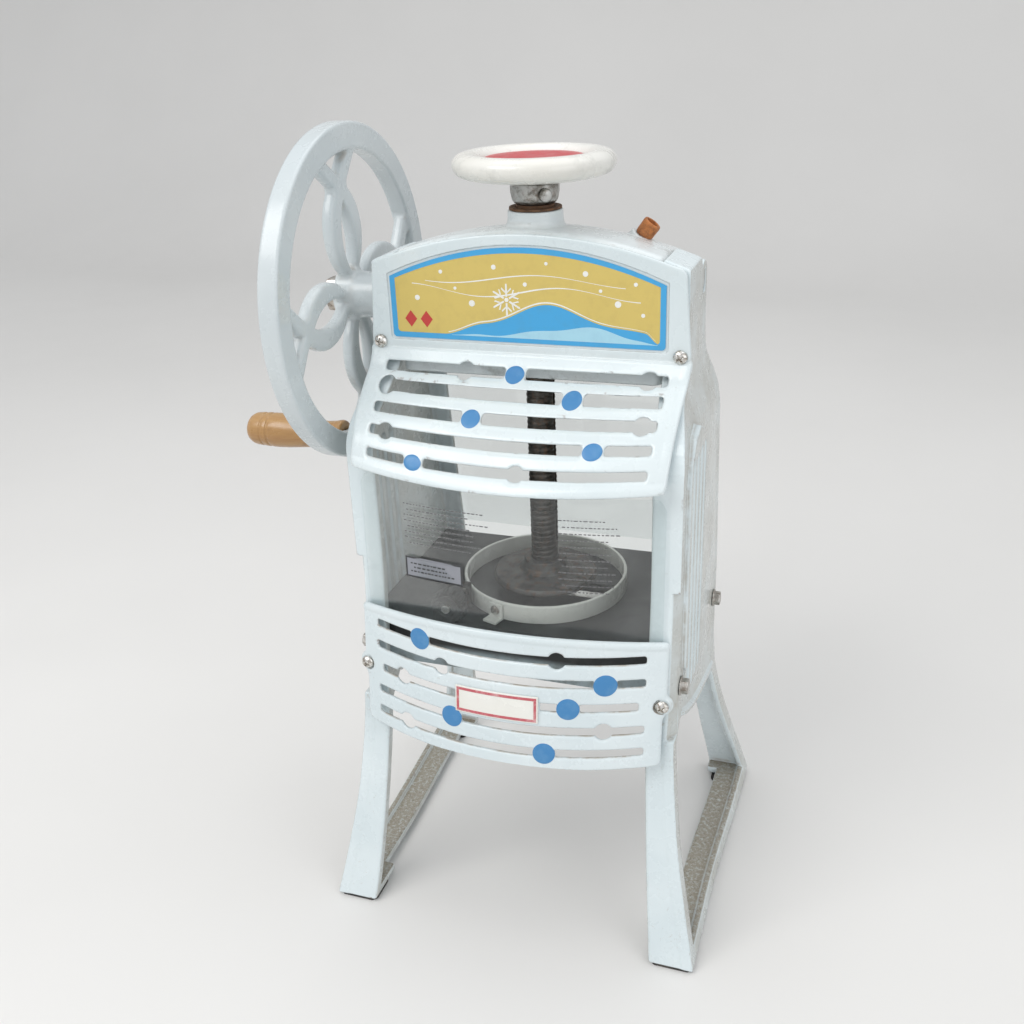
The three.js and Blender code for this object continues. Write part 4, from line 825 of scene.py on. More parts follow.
cast("upper_cover", upper_field, (-138.5, -133, 432), (138.5, -33.5, 620.5), 1.15, "frame", PAINT, ["front_cover_upper"], faces=150000, wear=1.3)


# ------------------------------------------------------------------ lower grille
def lower_end(z):
    return -103.8 - 0.13 * (312 - z)


def lower_sag(z):
    return 1.5 + 0.03 * (300 - z)


def lower_y(x, z):
    k = 1 - (x / 137) ** 2
    return lower_end(z + lower_sag(z) * k) - 30 * k


def lower_field(x, y, z):
    k = 1 - (np.clip(x, -140, 140) / 137) ** 2
    z0 = z + k * lower_sag(z + 3 * k)
    y0 = (y - lower_end(z0) + 30 * k) / np.sqrt(1 + (60 * x / 137 ** 2) ** 2)
    half = np.interp(z, [236, 247], [134.2, 137])
    region = smax(smax(np.abs(x) - half, z - 306 - 5.7 * k, 5), 196 - z0, 5)
    region = smax(region, -slots_field(x, z0, LOWER_SLOTS, 6.7, 7.2, 7.2), 1.2)
    region = smin(region, rrect(x, z0, -40, 36, 246, 258, 2), 1)
    ear = np.hypot(np.abs(x) - 133.4, z - 250.5)
    region = smin(region, ear - 8.8, 3)
    d = smax(region, slab(y0, 0, 4), 2.6)
    rim = smax(slab(z - 306 - 5.7 * k, -5, 0), np.abs(x) - half, 4)
    d = smin(d, smax(rim, slab(y0, -0.7, 3.4), 2.6), 2)
    d = smin(d, smax(ear - 7, slab(y, -111.5, -105.6), 1), 1)
    ledge = np.maximum(np.maximum(slab(np.abs(x), 123, 130), slab(y, -104.6, -100.8)), slab(z, 294, 298.6))
    d = smin(d, ledge, 0.5)
    d = smax(d, -np.maximum(ear - 6.9, y + 112.9), 0.8)
    return smax(d, 2.8 - ear, 0.4)


cast("lower_cover", lower_field, (-143.5, -152, 193.5), (143.5, -99, 319), 1.1, "frame", PAINT_GRILLE, ["lower_grille"], faces=130000, wear=1.3)


# ------------------------------------------------------------------ painted roundels and plates on the covers
def pebble(name, point, cx, cz, rx, rz, body, material, proud=0.35, depth=0.6, rings=6, seg=36):
    """Disc that follows a curved front. point(x, z) gives the surface."""
    verts, faces = [], []
    layers = [(t, 0.35 * proud + proud * math.sqrt(max(0.0, 1 - t ** 4))) for t in np.linspace(0, 1, rings)] + [(1.0, -depth)]
    loops = []
    for t, up in layers:
        if t == 0:
            p = point(np.array(cx), np.array(cz))
            loops.append([len(verts)])
            verts.append(p + np.array([0, -up, 0]))
            continue
        ids = []
        for k in range(seg):
            a = 2 * math.pi * k / seg
            p = point(np.array(cx + rx * t * math.cos(a)), np.array(cz + rz * t * math.sin(a)))
            ids.append(len(verts))
            verts.append(p + np.array([0, -up, 0]))
        loops.append(ids)
    base = len(verts)
    verts.append(point(np.array(cx), np.array(cz)) + np.array([0, depth, 0]))
    for a, b in zip(loops, loops[1:]):
        for k in range(seg):
            k2 = (k + 1) % seg
            faces.append((a[0], b[k], b[k2]) if len(a) == 1 else (a[k], b[k], b[k2], a[k2]))
    last = loops[-1]
    faces += [(last[k], base, last[(k + 1) % seg]) for k in range(seg)]
    ob = mesh_from(name, verts, faces)
    ob.data.set_sharp_from_angle(angle=math.radians(50))
    return place(ob, body, material)


def lower_point(x, z):
    k = 1 - (x / 137) ** 2
    return np.stack([x, lower_end(z) - 30 * k, z - lower_sag(z) * k], -1)


for i, (z, _, _, solid, _) in enumerate(HOOD_SLOTS):
    pebble(f"roundel_upper_{i}", hood_point, solid[0], z, 7.8, 5.3, "frame", DOT, proud=0.5)
for i, (z, _, _, solid, _) in enumerate(LOWER_SLOTS):
    pebble(f"roundel_lower_{i}", lower_point, solid[0], z, 9.5, 9.3, "frame", DOT, proud=0.5)


def spaced(outline, n):
    """The outline with n points at even steps."""
    p = np.array(outline + [outline[0]], float)
    s = np.concatenate([[0], np.cumsum(np.linalg.norm(np.diff(p, axis=0), axis=1))])
    t = np.linspace(0, s[-1], n, endpoint=False)
    return list(zip(np.interp(t, s, p[:, 0]), np.interp(t, s, p[:, 1])))


field_edge = arched(111.5, 535.5, 580.5, 23, 60, 3)
outer_edge = arched(116, 531, 582, 26, 60, 3)
place(prism_y("print_field", spaced(arched(115.6, 531.4, 581.8, 25.8, 60, 3), 150), -39.2, -38.9), "frame", GOLD, ["decal_plate"])
place(prism_y("print_border", outer_edge, -39.34, -39.0, hole=field_edge), "frame", BLUE)


def band(name, lower, upper, x0, x1, y0, y1, material, n=60):
    xs = np.linspace(x0, x1, n)
    pts = [(x, lower(x)) for x in xs] + [(x, upper(x)) for x in xs[::-1]]
    return place(prism_y(name, pts, y0, y1), "frame", material)


def swell(x, a, b):
    t = min(1.0, max(0.0, (x - a) / (b - a)))
    return t * t * (3 - 2 * t)


def hill(x):
    edge = swell(x, -72, -34) * swell(-x, -111.5, -100)
    return 535.0 + edge * (5 + 21 * math.exp(-((x - 22) / 50) ** 2) + 2.0 * math.sin(x / 12.0)) + 0.25


def crest(x):
    edge = swell(x, -64, -20) * swell(-x, -110, -92)
    return 534.9 + edge * (2 + 9 * math.exp(-((x - 48) / 38) ** 2) + 1.4 * math.sin(x / 9.0 + 1)) + 0.15


# generic printed pattern: drifting waves, snow dots and one six-armed flake
band("print_wave_low", lambda x: 534.7, hill, -72, 111.4, -39.36, -39.05, BLUE, 90)
band("print_wave_pale", lambda x: 534.75, crest, -63, 109.8, -39.46, -39.3, ICE, 80)
band("print_wave_line", lambda x: hill(x) + 1.2, lambda x: hill(x) + 1.9 + 0.5 * math.cos(x / 40), -66, 108, -39.30, -39.05, PRINT_WHITE, 80)
band("print_wave_high", lambda x: 572 + 4.5 * math.sin(x / 21.0), lambda x: 572.8 + 4.5 * math.sin(x / 21.0 + 0.1), -96, 96, -39.30, -39.05, PRINT_WHITE)
band("print_wave_mid", lambda x: 582 + 4.0 * math.sin(x / 25.0 + 1.0), lambda x: 582.7 + 4.0 * math.sin(x / 25.0 + 1.08), -84, 84, -39.30, -39.05, PRINT_WHITE)


def disc_outline(cx, cz, r, n=20):
    return [(cx + r * math.cos(2 * math.pi * i / n), cz + r * math.sin(2 * math.pi * i / n)) for i in range(n)]


def prints(name, outlines, y0, y1, body, material, y_of=None):
    """Many small flat plates in one piece. y_of moves them onto a curved sheet."""
    verts, faces = [], []
    for line in outlines:
        b, n = len(verts), len(line)
        for y in (y0, y1):
            verts += [(x, y + (y_of(x, z) if y_of else 0.0), z) for x, z in line]
        faces += [tuple(range(b, b + n)), tuple(range(b + 2 * n - 1, b + n - 1, -1))] + [(b + i, b + (i + 1) % n, b + n + (i + 1) % n, b + n + i) for i in range(n)]
    return place(mesh_from(name, verts, faces, smooth=False), body, material)


dots = [(-92, 565, 2.2), (-70, 587, 1.6), (-44, 562, 2.6), (-24, 592, 2.0), (2, 579, 1.7), (52, 589, 2.2), (78, 566, 2.6), (92, 582, 1.6), (-58, 574, 1.3), (64, 576, 1.4), (20, 596, 1.4), (98, 558, 1.6)]
prints("print_dots", [disc_outline(*q) for q in dots], -39.44, -39.1, "frame", PRINT_WHITE)


def flake(cx, cz, r):
    """Six arms with side twigs round a small hexagon, as separate plates."""
    lines = [[(cx + 1.9 * math.cos(math.pi / 3 * k), cz + 1.9 * math.sin(math.pi / 3 * k)) for k in range(6)]]
    for k in range(6):
        a = math.pi / 2 + k * math.pi / 3

        def at(u, v, a=a):
            return (cx + u * math.cos(a) - v * math.sin(a), cz + u * math.sin(a) + v * math.cos(a))
        lines.append([at(2.6, -0.75), at(r, -0.75), at(r + 0.8, 0), at(r, 0.75), at(2.6, 0.75)])
        for m in (-1, 1):
            lines.append([at(r * 0.44, 0.95 * m), at(r * 0.56, 0.95 * m), at(r * 0.80, 3.9 * m), at(r * 0.70, 4.3 * m)])
    return lines


prints("print_flake", flake(-14, 566, 12.5), -39.5, -39.1, "frame", PRINT_WHITE)
prints("print_lozenges", [[(cx - 5.4, cz), (cx, cz - 7.0), (cx + 5.4, cz), (cx, cz + 7.0)] for cx, cz in ((-99, 547), (-85, 547))], -39.36, -39.05, "frame", PRINT_RED)


# blank name plate on the lower cover: a raised rim round a flat field
def badge(name, x0, x1, z0, z1, y_off, thick, material, nodes=(), n=24):
    """Plate that follows the grille's curve."""
    xs = np.linspace(x0, x1, n)
    verts, faces = [], []
    for y in (y_off, y_off + thick):
        for z in (z0, z1):
            verts += [(x, float(lower_y(x, z)) + y, z) for x in xs]
    a, b, c, d = 0, n, 2 * n, 3 * n
    for i in range(n - 1):
        faces += [(a + i, a + i + 1, b + i + 1, b + i), (c + i, d + i, d + i + 1, c + i + 1), (a + i, c + i, c + i + 1, a + i + 1), (b + i, b + i + 1, d + i + 1, d + i)]
    faces += [(a, b, d, c), (a + n - 1, c + n - 1, d + n - 1, b + n - 1)]
    ob = mesh_from(name, verts, faces, smooth=False)
    m = ob.modifiers.new("edge", "BEVEL")
    m.width, m.segments, m.limit_method, m.angle_limit = 0.0004, 2, "ANGLE", math.radians(40)
    return place(ob, "frame", material, nodes)


badge("badge_field", -38.5, 35, 235.5, 259.5, -1.9, 1.5, WHITE, ["badge_plate"])
badge("badge_rim_low", -37.3, 33.8, 236.6, 239.0, -2.25, 0.6, WORN_RED)
badge("badge_rim_high", -37.3, 33.8, 256.0, 258.4, -2.25, 0.6, WORN_RED)
badge("badge_rim_left", -37.3, -35.0, 239.2, 255.8, -2.25, 0.6, WORN_RED, n=3)
badge("badge_rim_right", 31.5, 33.8, 239.2, 255.8, -2.25, 0.6, WORN_RED, n=3)


# ------------------------------------------------------------------ clear covers
def sheet_y(name, half, z0, z1, y_of, thick, body, nodes, chamfer=(10, 10), nx=60, nz=24):
    """Curved clear sheet with rounded top corners and soft edges."""
    us = np.linspace(-1, 1, nx)
    ws = np.linspace(0, 1, nz)
    verts, faces = [], []
    e = 0.35
    for layer in (0, 1):
        for w in ws:
            for u in us:
                x = half * u
                top = z1 - chamfer[1] * smooth_corner(max(0.0, (abs(x) - (half - chamfer[0])) / chamfer[0]))
                z = z0 + (top - z0) * w
                x = math.copysign(min(abs(x), half), x)
                rim = min(1.0, min(1 - abs(u), w, 1 - w) * 40)
                y = y_of(x, z)
                mid = y + thick / 2
                off = (thick / 2) * (1 - e * (1 - rim) ** 2)
                verts.append((x, mid - off if layer == 0 else mid + off, z))
    def vid(layer, j, i):
        return layer * nx * nz + j * nx + i
    for j in range(nz - 1):
        for i in range(nx - 1):
            faces.append((vid(0, j, i), vid(0, j, i + 1), vid(0, j + 1, i + 1), vid(0, j + 1, i)))
            faces.append((vid(1, j, i), vid(1, j + 1, i), vid(1, j + 1, i + 1), vid(1, j, i + 1)))
    for i in range(nx - 1):
        faces.append((vid(0, 0, i), vid(1, 0, i), vid(1, 0, i + 1), vid(0, 0, i + 1)))
        faces.append((vid(0, nz - 1, i), vid(0, nz - 1, i + 1), vid(1, nz - 1, i + 1), vid(1, nz - 1, i)))
    for j in range(nz - 1):
        faces.append((vid(0, j, 0), vid(0, j + 1, 0), vid(1, j + 1, 0), vid(1, j, 0)))
        faces.append((vid(0, j, nx - 1), vid(1, j, nx - 1), vid(1, j + 1, nx - 1), vid(0, j + 1, nx - 1)))
    ob = mesh_from(name, verts, faces)
    ob.data.set_sharp_from_angle(angle=math.radians(40))
    return place(ob, body, CLEAR, nodes)


def smooth_corner(t):
    return 1 - math.sqrt(max(0.0, 1 - min(1.0, t) ** 2))


def cover_y(x, z):
    return -102.4 + 0.035 * (z - 300) - 18 * (1 - (x / 131) ** 2)


sheet_y("clear_front", 131, 299, 430, cover_y, 2.2, "front_cover", ["front_cover_clear"])


def dashes(x0, x1, z0, z1, rows, seed, high=1.5):
    """Rows of short strokes that stand for a printed notice, without any letters."""
    rng = np.random.default_rng(seed)
    out = []
    for i in range(rows):
        z = z1 - (z1 - z0) * (i + 0.5) / rows
        x = x0 + (3 if i % 3 == 1 else 0)
        end = x1 - rng.uniform(0, 0.25) * (x1 - x0)
        while x < end - 2:
            w = rng.uniform(1.2, 3.4)
            out.append([(x, z - high / 2), (x + w, z - high / 2), (x + w, z + high / 2), (x, z + high / 2)])
            x += w + rng.uniform(0.9, 1.5)
    return out


def strip(x0, x1, z0, z1, n=10):
    xs = np.linspace(x0, x1, n)
    return [(x, z0) for x in xs] + [(x, z1) for x in xs[::-1]]


prints("notice_left", dashes(-88, -10, 372, 412, 8, 3, 1.0), -0.14, -0.04, "front_cover", NOTICE, cover_y)
prints("notice_right", dashes(48, 98, 346, 414, 12, 5, 0.9), -0.14, -0.04, "front_cover", NOTICE, cover_y)
prints("label_plate", [strip(-89, -35, 342.5, 361.5)], -0.16, -0.04, "front_cover", LABEL, cover_y)
prints("label_border", [strip(-89, -35, 342.5, 344.0), strip(-89, -35, 360.0, 361.5), [(-89, 344.1), (-87.5, 344.1), (-87.5, 359.9), (-89, 359.9)], [(-36.5, 344.1), (-35, 344.1), (-35, 359.9), (-36.5, 359.9)]], -0.26, -0.17, "front_cover", BORDER, cover_y)
prints("label_strokes", dashes(-84, -40, 346.5, 357.5, 3, 9, 1.2), -0.26, -0.17, "front_cover", BORDER, cover_y)
sheet_y("clear_rear", 134, 297, 468, lambda x, z: float(rear_y(z)) + 0.35, 2.4, "frame", ["rear_cover"], chamfer=(4, 4))


# ------------------------------------------------------------------ flywheel
def vesica_field(u, v, r0, r1, width):
    a, b = (r1 - r0) / 2, width / 2
    R = (a * a + b * b) / (2 * b)
    return np.maximum(np.hypot(u - (R - b), v - (r0 + r1) / 2), np.hypot(u + (R - b), v - (r0 + r1) / 2)) - R


Y_ARM = poly([(-9, 82), (9, 82), (13, 96), (33, 114), (38, 123), (-38, 123), (-33, 114), (-13, 96)])
Y_GAP = poly([(0, 102.5), (19, 119.5), (-19, 119.5)])


def wheel_field(x, y, z):
    w = z - 556
    r = np.hypot(y, w)
    rim = rrect(r, x, 122, 144, -181, -163, 2.8)
    a = np.arctan2(-y, w) - math.radians(7)
    a = (a + math.pi / 4) % (math.pi / 2) - math.pi / 4
    u, v = r * np.sin(a), r * np.cos(a)
    petal = smax(vesica_field(u, v, 13, 99, 55), -vesica_field(u, v, 20, 80, 20), 3)
    arm = smax(Y_ARM(u, v), -Y_GAP(u, v), 3)
    web = smin(petal, arm, 4)
    web = smax(web, slab(x, -178, -166), 5)
    hub = smax(r - 20, slab(x, -181, -135), 3)
    d = smin(smin(rim, web, 4), hub, 7)
    d = smax(d, 10.3 - r, 0.6)
    return smax(d, 5.3 - np.hypot(y + 23, z - 430) + np.where(x > -150, -200, 0), 0.6)


cast("wheel_casting", wheel_field, (-183, -146, 410), (-133, 146, 702), 1.25, "flywheel", PAINT_WHEEL_SHADED, ["flywheel"], faces=110000, wear=1.6)
turned("shaft", [(0, -194), (10, -194), (10, -44.5), (5.5, -44.5), (5.5, -16), (0, -16)], "x", (0, 0, 556), 48, 1.0)
place(bpy.data.objects["shaft"], "flywheel", STEEL, ["drive_shaft"])

GRIP = [(5.5, 0), (13.5, 0), (14.5, 3), (13, 10), (12.3, 18), (13.2, 34), (15.4, 56), (16, 68), (15.9, 73), (14.9, 74.5), (15.9, 76), (15.8, 80), (14.8, 81.5), (15.7, 83), (15, 91), (12.5, 95.7), (9.5, 97.7), (8.2, 97.7), (8.2, 92.7), (5.5, 92.7)]
place(turned("grip_wood", GRIP, "nx", (-181.3, -23, 430), 64, 1.6, closed=True, wobble=lambda rad, h, t: 0.12 * math.sin(3 * t + h * 0.05) if rad > 9 else 0), "grip", WOOD, ["crank_grip"])


# ------------------------------------------------------------------ handwheel and spindle
HAND = [(12.8, 652.9), (22, 652.9), (25, 656), (54, 657.2), (63, 660.5), (66, 667.0), (65.2, 671.8), (61, 675.6), (56, 677.0), (50.5, 676.6), (46.5, 674.6), (42.4, 671.2), (41.4, 664.8), (12.8, 664.8)]
HAND_WHITE = enamel("enamel_handwheel", (0.75, 0.75, 0.715), (0.69, 0.68, 0.63), rust=0.6, grime_and_shade=1.0, smudge=0.5, dust_and_shade_tint=(0.36, 0.27, 0.14), chip=(0.22, 0.14, 0.07), lumps=0.35)
place(turned("handwheel_rim", HAND, "z", (0, 0, 0), 128, 3.4, closed=True), "spindle", HAND_WHITE, ["handwheel"])
place(turned("handwheel_disc", [(0, 665.1), (40.8, 665.1), (41.0, 671.2), (39.8, 672.4), (30, 672.9), (0, 673.2)], "z", (0, 0, 0), 96, 0.8), "spindle", RED, ["handwheel_cap"])


place(turned("hub_turned", [(12.8, 636.8), (16.8, 636.8), (18.6, 639.2), (19.9, 645.5), (20, 652.5), (12.8, 652.5)], "z", (0, 0, 0), 72, 0.9, closed=True), "spindle", STEEL_HUB, ["handwheel_hub"])
a50 = math.radians(-50)
dir50 = (math.cos(a50), math.sin(a50), 0)


SET_AT = (dir50[0] * 20.3, dir50[1] * 20.3, 644.5)
place(turned("set_screw", [(0, -7), (3, -7), (3, 0), (5.4, 0), (5.5, 2.4), (4.6, 3.2), (1.2, 3.5), (0, 3.5)], dir50, SET_AT, 40, 0.5), "spindle", STEEL_HUB, ["hub_set_screw"])
place(turned("collar_ring", [(15.9, 632), (21.5, 632), (21.5, 634), (15.9, 634)], "z", (0, 0, 0), 72, 0.5, closed=True, wobble=lambda rad, h, t: 0.15 * math.sin(5 * t) if rad > 18 else 0), "frame", RUSTED, ["boss_collar"])
place(turned("lock_ring", [(13.2, 632), (15.6, 632), (15.6, 636), (13.2, 636)], "z", (0, 0, 0), 72, 0.5, closed=True), "frame", RUSTED, ["lock_nut"])


def spindle_field(x, y, z):
    """Square-cut feed thread with a keyway."""
    r = np.hypot(x, y)
    turn = np.arctan2(y, x) / (2 * math.pi)
    pitch = 5.0
    ph = np.abs(((z / pitch - turn) % 1.0) - 0.5) * 2
    groove = np.clip((ph - 0.45) * 4, 0, 1) * np.clip((z - 306) / 4, 0, 1) * np.clip((656 - z) / 4, 0, 1)
    d = (r - 12.45 + 0.45 * groove) * 0.8
    d = smax(d, slab(z, 301, 664), 1)
    key = np.maximum(np.maximum(10.1 - x, np.abs(y) - 2.7), slab(z, 335, 545))
    return smax(d, -key, 0.4)


cast("feed_screw", spindle_field, (-14, -14, 299), (14, 14, 666), 0.75, "spindle", metal("iron_greased", (0.12, 0.11, 0.10), (0.05, 0.044, 0.038), (0.3, 0.55), 120, rust=0.35), ["spindle"], faces=90000, wear=0.5, hollow=1.5)


def disc_field(x, y, z):
    r = np.hypot(x, y)
    top = np.interp(r, [0, 12, 19, 20, 24, 46, 48], [319, 319, 319, 312, 308.6, 306.0, 303])
    d = smax(smax(r - 48, (z - top) * 0.8, 1.5), 300.8 - z, 0.6)
    a = np.arctan2(y, x)
    for i in range(6):
        t = (i + 0.5) / 6 * 2 * math.pi
        q = np.hypot(x - 38 * math.cos(t), y - 38 * math.sin(t))
        d = smin(d, smax((q - (z - 292.3) * 0.33) * 0.9, z - 302, 0.3), 0.5)
    return smax(d, 12.8 - r, 0.5)


cast("clamp_plate", disc_field, (-50, -50, 291), (50, 50, 321), 0.9, "spindle", IRON, ["clamp_disc"], faces=40000, wear=1.0, hollow=3)


# ------------------------------------------------------------------ table group
place(turned("ring_band", [(72.6, 289.3), (75.4, 289.3), (75.4, 305.2), (74.8, 306), (73.1, 306), (72.6, 305.4)], "z", (0, 0, 0), 144, 0.5, closed=True), "frame", RING, ["ice_ring"])


def knob_field(x, y, z):
    h = -84 - y
    px, pz = x + 62, z - 305
    r = np.hypot(px, pz)
    a = np.arctan2(pz, px)
    flute = 0.45 * np.clip(np.cos(a * 18) * 2.0, -1, 1)
    d = smax(r - 14.5 + flute * 0.9 - 0.45, slab(h, 0, 9.5), 1.6)
    d = np.minimum(d, smax(r - 11.8, slab(h, 0, 11.5), 1.4))
    d = smax(d, -smax(r - 7.6, 10.2 - h, 0.6), 0.5)
    return smax(d, 4.3 - r, 0.4)


cast("knob_moulded", knob_field, (-79, -97, 288), (-45, -83, 322), 0.5, "knob", KNOB, ["adjusting_knob"], faces=30000, wear=0.6, hollow=1.5)


def pan_head(name, at, axis, r, h, shank, length, body, material, nodes, turn=0.4, slotted=False):
    """Domed screw head with a cross recess or a slot."""
    e2 = np.array(axis, float)
    e2 /= np.linalg.norm(e2)
    ref = np.array([0.0, 0, 1]) if abs(e2[2]) < 0.9 else np.array([1.0, 0, 0])
    e0 = np.cross(ref, e2)
    e0 /= np.linalg.norm(e0)
    e1 = np.cross(e2, e0)
    at = np.array(at, float)
    ct, st = math.cos(turn), math.sin(turn)
    R = (r * r + h * h) / (2 * h) * 1.12

    def f(x, y, z):
        px, py, pz = x - at[0], y - at[1], z - at[2]
        q = px * e2[0] + py * e2[1] + pz * e2[2]
        a = px * e0[0] + py * e0[1] + pz * e0[2]
        b = px * e1[0] + py * e1[1] + pz * e1[2]
        u, v = a * ct + b * st, -a * st + b * ct
        rad = np.hypot(u, v)
        dome = np.sqrt(rad * rad + (q - (h - R)) ** 2) - R
        d = smax(smax(dome, rad - r, 0.9), -q, 0.2)
        d = np.minimum(d, smax(rad - shank, slab(q, -length, 0.3), 0.3))
        narrow = 0.62 + 0.35 * np.clip((q - (h - 2.6)) / 2.6, 0, 1)
        if slotted:
            cross = np.abs(v) - 0.75
        else:
            cross = np.minimum(np.maximum(np.abs(u) - r * 0.52, np.abs(v) - narrow * 0.75), np.maximum(np.abs(v) - r * 0.52, np.abs(u) - narrow * 0.75))
            cross = smin(cross, rad - r * 0.2, 0.5)
        depth = h - (2.6 if not slotted else 1.4)
        return smax(d, -np.maximum(cross, depth - q), 0.3)

    a, b = at + e2 * (h + 0.8), at - e2 * (length + 0.8)
    lo, hi = np.minimum(a, b) - (r + 0.6), np.maximum(a, b) + (r + 0.6)
    return cast(name, f, lo, hi, 0.42, body, material, nodes, faces=9000, wear=0.4, hollow=1.2)


for side, s in (("left", -1), ("right", 1)):
    pan_head(f"screw_upper_{side}", (s * 128, -40.3, 526.6), (0, -1, 0), 6.0, 4.4, 2.2, 15, "frame", CHROME, [f"upper_cover_screw_{side}"], turn=0.35 * s + 0.2)
    pan_head(f"screw_lower_{side}", (s * 133.4, -113.2, 250.5), (0, -1, 0), 6.0, 4.4, 2.4, 19, "frame", CHROME, [f"lower_cover_screw_{side}"], turn=0.6 * s)
    pan_head(f"screw_rear_{side}", (s * 127, float(np.interp(455, [450, 478], [79, 76])) + 4, 455), (0, 1, 0), 5.0, 4.0, 2.3, 8, "frame", CHROME, [f"rear_cover_screw_{side}"], turn=0.2 * s)
    for end, (y, z) in (("rear", (87, 248)), ("front", (-84, 255))):
        nm = f"side_bolt_{side}_{end}"

        def bolt(x, y_, z_, y=y, z=z, s=s):
            h = s * x - 143.3
            u, v = y_ - y, z_ - z
            r = np.hypot(u, v)
            d = smax(r - 8.4, slab(h, 0, 1.5), 0.5)
            hx = np.maximum(np.abs(u) * 0.866 + np.abs(v) * 0.5, np.abs(v)) - 5.9
            head = smax(smax(hx, slab(h, 0, 7.0), 0.6), r + (h - 7) * 1.2 - 6.2, 0.5)
            d = smin(d, head, 0.4)
            return np.minimum(d, smax(r - 3.9, slab(h, -26, 1), 0.4))

        xs = sorted((s * 115.5, s * 152))
        cast(nm + "_hex", bolt, (xs[0], y - 10, z - 10), (xs[1], y + 10, z + 10), 0.6, "frame", STEEL, [nm], faces=12000, wear=0.6, hollow=1.5)


at_clip = math.atan2(-71.5, -23)
pan_head("screw_ring", (78.2 * math.cos(at_clip), 78.2 * math.sin(at_clip), 298), (math.cos(at_clip), math.sin(at_clip), 0), 4.6, 3.1, 2.2, 10.5, "frame", STEEL, ["ring_screw"], slotted=True)

TILT = (math.sin(math.radians(37)), 0, math.cos(math.radians(37)))


def plug_field(x, y, z):
    rad, h = tilted(x, y, z)
    a = np.arctan2(y - 26, (x - 82) * math.cos(math.radians(37)) - (z - 606) * math.sin(math.radians(37)))
    body = np.interp(h, [1.8, 4, 13, 15], [7.0, 7.35, 7.6, 7.2]) + 0.12 * np.sin(a * 5)
    d = smax(rad - body, slab(h, 1.8, 15), 0.8)
    d = np.minimum(d, smax(rad - 6, slab(h, -12, 2), 0.4))
    return smax(d, -smax(rad - 4.9, 10.6 - h, 0.6), 0.6)


cast("plug_turned", plug_field, (70, 17, 590), (101, 35, 626), 0.5, "frame", PLUG, ["oil_plug"], faces=24000, wear=0.6, hollow=2)


# ------------------------------------------------------------------ CAD nodes that keep their shape: softened edges and their own finish
def dress(node, material, width=0.5, angle=35):
    ob = NODES[node]
    ob.data.materials.clear()
    ob.data.materials.append(material)
    w = ob.modifiers.new("weld", "WELD")
    w.merge_threshold = 0.00002
    if width:
        b = ob.modifiers.new("soft", "BEVEL")
        b.width, b.segments, b.limit_method, b.angle_limit = width / 1000, 2, "ANGLE", math.radians(angle)
        b.harden_normals = False


for node, material, width in (
    ("blade_table", TABLE, 0.8), ("blade_carrier", IRON, 0.5), ("blade", BLADE, 0.12), ("blade_clamp_bar", IRON, 0.4), ("blade_screw_1", STEEL, 0.25), ("blade_screw_2", STEEL, 0.25),
    ("adjusting_yoke", IRON, 0.4), ("knob_shaft", STEEL, 0.4), ("ring_clip", RING, 0.3), ("bevel_pinion", IRON, 0.15), ("bevel_gear", IRON, 0.15), ("gear_key", STEEL, 0.2), ("gear_bush", BRASS, 0.3),
    ("shaft_bush", BRASS, 0.3), ("shaft_nut", STEEL, 0.8), ("grip_bolt", STEEL, 0.5),
    ("foot_pad_front_left", RUBBER, 0.6), ("foot_pad_front_right", RUBBER, 0.6), ("foot_pad_rear_left", RUBBER, 0.6), ("foot_pad_rear_right", RUBBER, 0.6),
    ("head_bolt_left_low", STEEL, 0.5), ("head_bolt_left_high", STEEL, 0.5), ("head_bolt_right_low", STEEL, 0.5), ("head_bolt_right_high", STEEL, 0.5),
):
    dress(node, material, width)


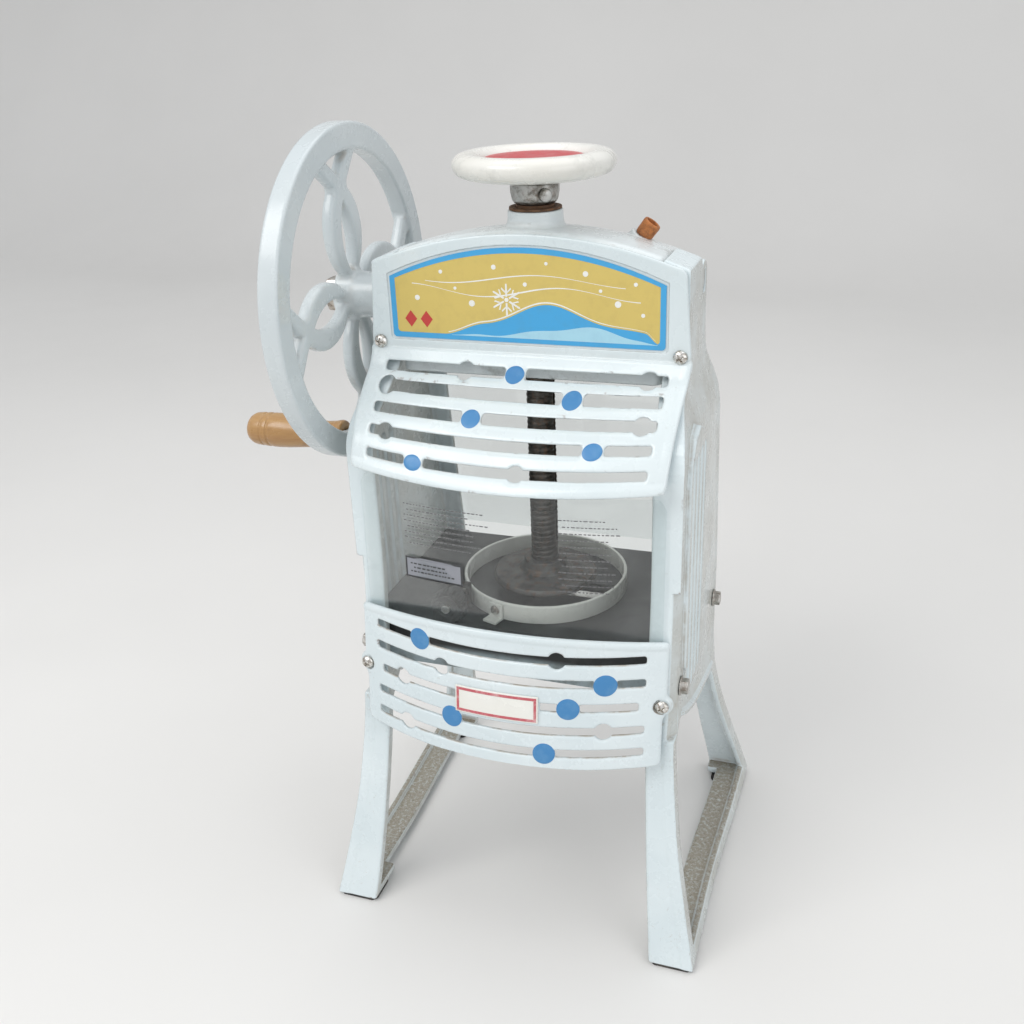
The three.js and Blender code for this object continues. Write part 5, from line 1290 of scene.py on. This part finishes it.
# ------------------------------------------------------------------ floor, lights, camera
def floor():
    line = [(-8.0, 0.0), (2.4, 0.0)] + [(2.4 + 1.2 * math.sin(t), 1.2 - 1.2 * math.cos(t)) for t in np.linspace(0.1, math.pi / 2, 14)] + [(3.6, 5.0)]
    verts = [(x, y, z) for y, z in line for x in (-9.0, 9.0)]
    me = bpy.data.meshes.new("floor")
    me.from_pydata(verts, [], [(2 * i, 2 * i + 1, 2 * i + 3, 2 * i + 2) for i in range(len(line) - 1)])
    me.polygons.foreach_set("use_smooth", np.ones(len(me.polygons), bool))
    ob = bpy.data.objects.new("floor", me)
    bpy.context.scene.collection.objects.link(ob)
    n = Nodes("floor_pale")
    tone = n.mix(n.ramp(n.noise(0.9, 4), 0.3, 0.7), (0.715, 0.71, 0.695), (0.745, 0.74, 0.725))
    normal = n.bump(n.noise(60, 4), 0.04, 0.001)
    me.materials.append(n.done(tone, n.ramp(n.noise(4, 4), 0.3, 0.7, 0.55, 0.75), normal))


floor()


def lamp(name, at, look, size, power, color=(1, 1, 1)):
    li = bpy.data.lights.new(name, "AREA")
    li.shape, li.size, li.size_y, li.energy, li.color = "RECTANGLE", size[0], size[1], power, color
    ob = bpy.data.objects.new(name, li)
    bpy.context.scene.collection.objects.link(ob)
    ob.location = at
    ob.rotation_mode = "QUATERNION"
    ob.rotation_quaternion = (Vector(look) - Vector(at)).to_track_quat("-Z", "Y")
    return ob


lamp("key", (-0.9, -1.5, 2.2), (0.05, 0, 0.35), (1.6, 1.2), 27, (1, 0.985, 0.965))
lamp("fill", (1.9, -1.2, 1.1), (0.05, 0, 0.3), (1.4, 1.6), 8.5, (0.98, 0.99, 1))
lamp("top", (0.2, 0.4, 2.4), (0.05, 0, 0.3), (2.2, 1.6), 13)
world = bpy.data.worlds.new("studio")
world.use_nodes = True
world.node_tree.nodes["Background"].inputs[0].default_value = (0.93, 0.94, 0.96, 1)
world.node_tree.nodes["Background"].inputs[1].default_value = 0.80
bpy.context.scene.world = world
bpy.context.scene.view_settings.view_transform = "Standard"

TH, YA, RO = math.radians(24.326), math.radians(19.685), math.radians(-2.395)
fw = Vector((-math.sin(YA) * math.cos(TH), math.cos(YA) * math.cos(TH), -math.sin(TH)))
rt = Vector((math.cos(YA), math.sin(YA), 0))
up = rt.cross(fw)
rt2 = math.cos(RO) * rt + math.sin(RO) * up
up2 = -math.sin(RO) * rt + math.cos(RO) * up
cam_data = bpy.data.cameras.new("camera")
cam_data.lens, cam_data.sensor_width, cam_data.sensor_fit = 1091 / 1024 * 36, 36, "AUTO"
cam_data.clip_start, cam_data.clip_end = 0.05, 100
cam = bpy.data.objects.new("camera", cam_data)
bpy.context.scene.collection.objects.link(cam)
rot = Matrix((rt2, up2, -fw)).transposed()
cam.matrix_world = Matrix.Translation(Vector((0.32655, -0.86239, 0.77209))) @ rot.to_4x4()
bpy.context.scene.camera = cam
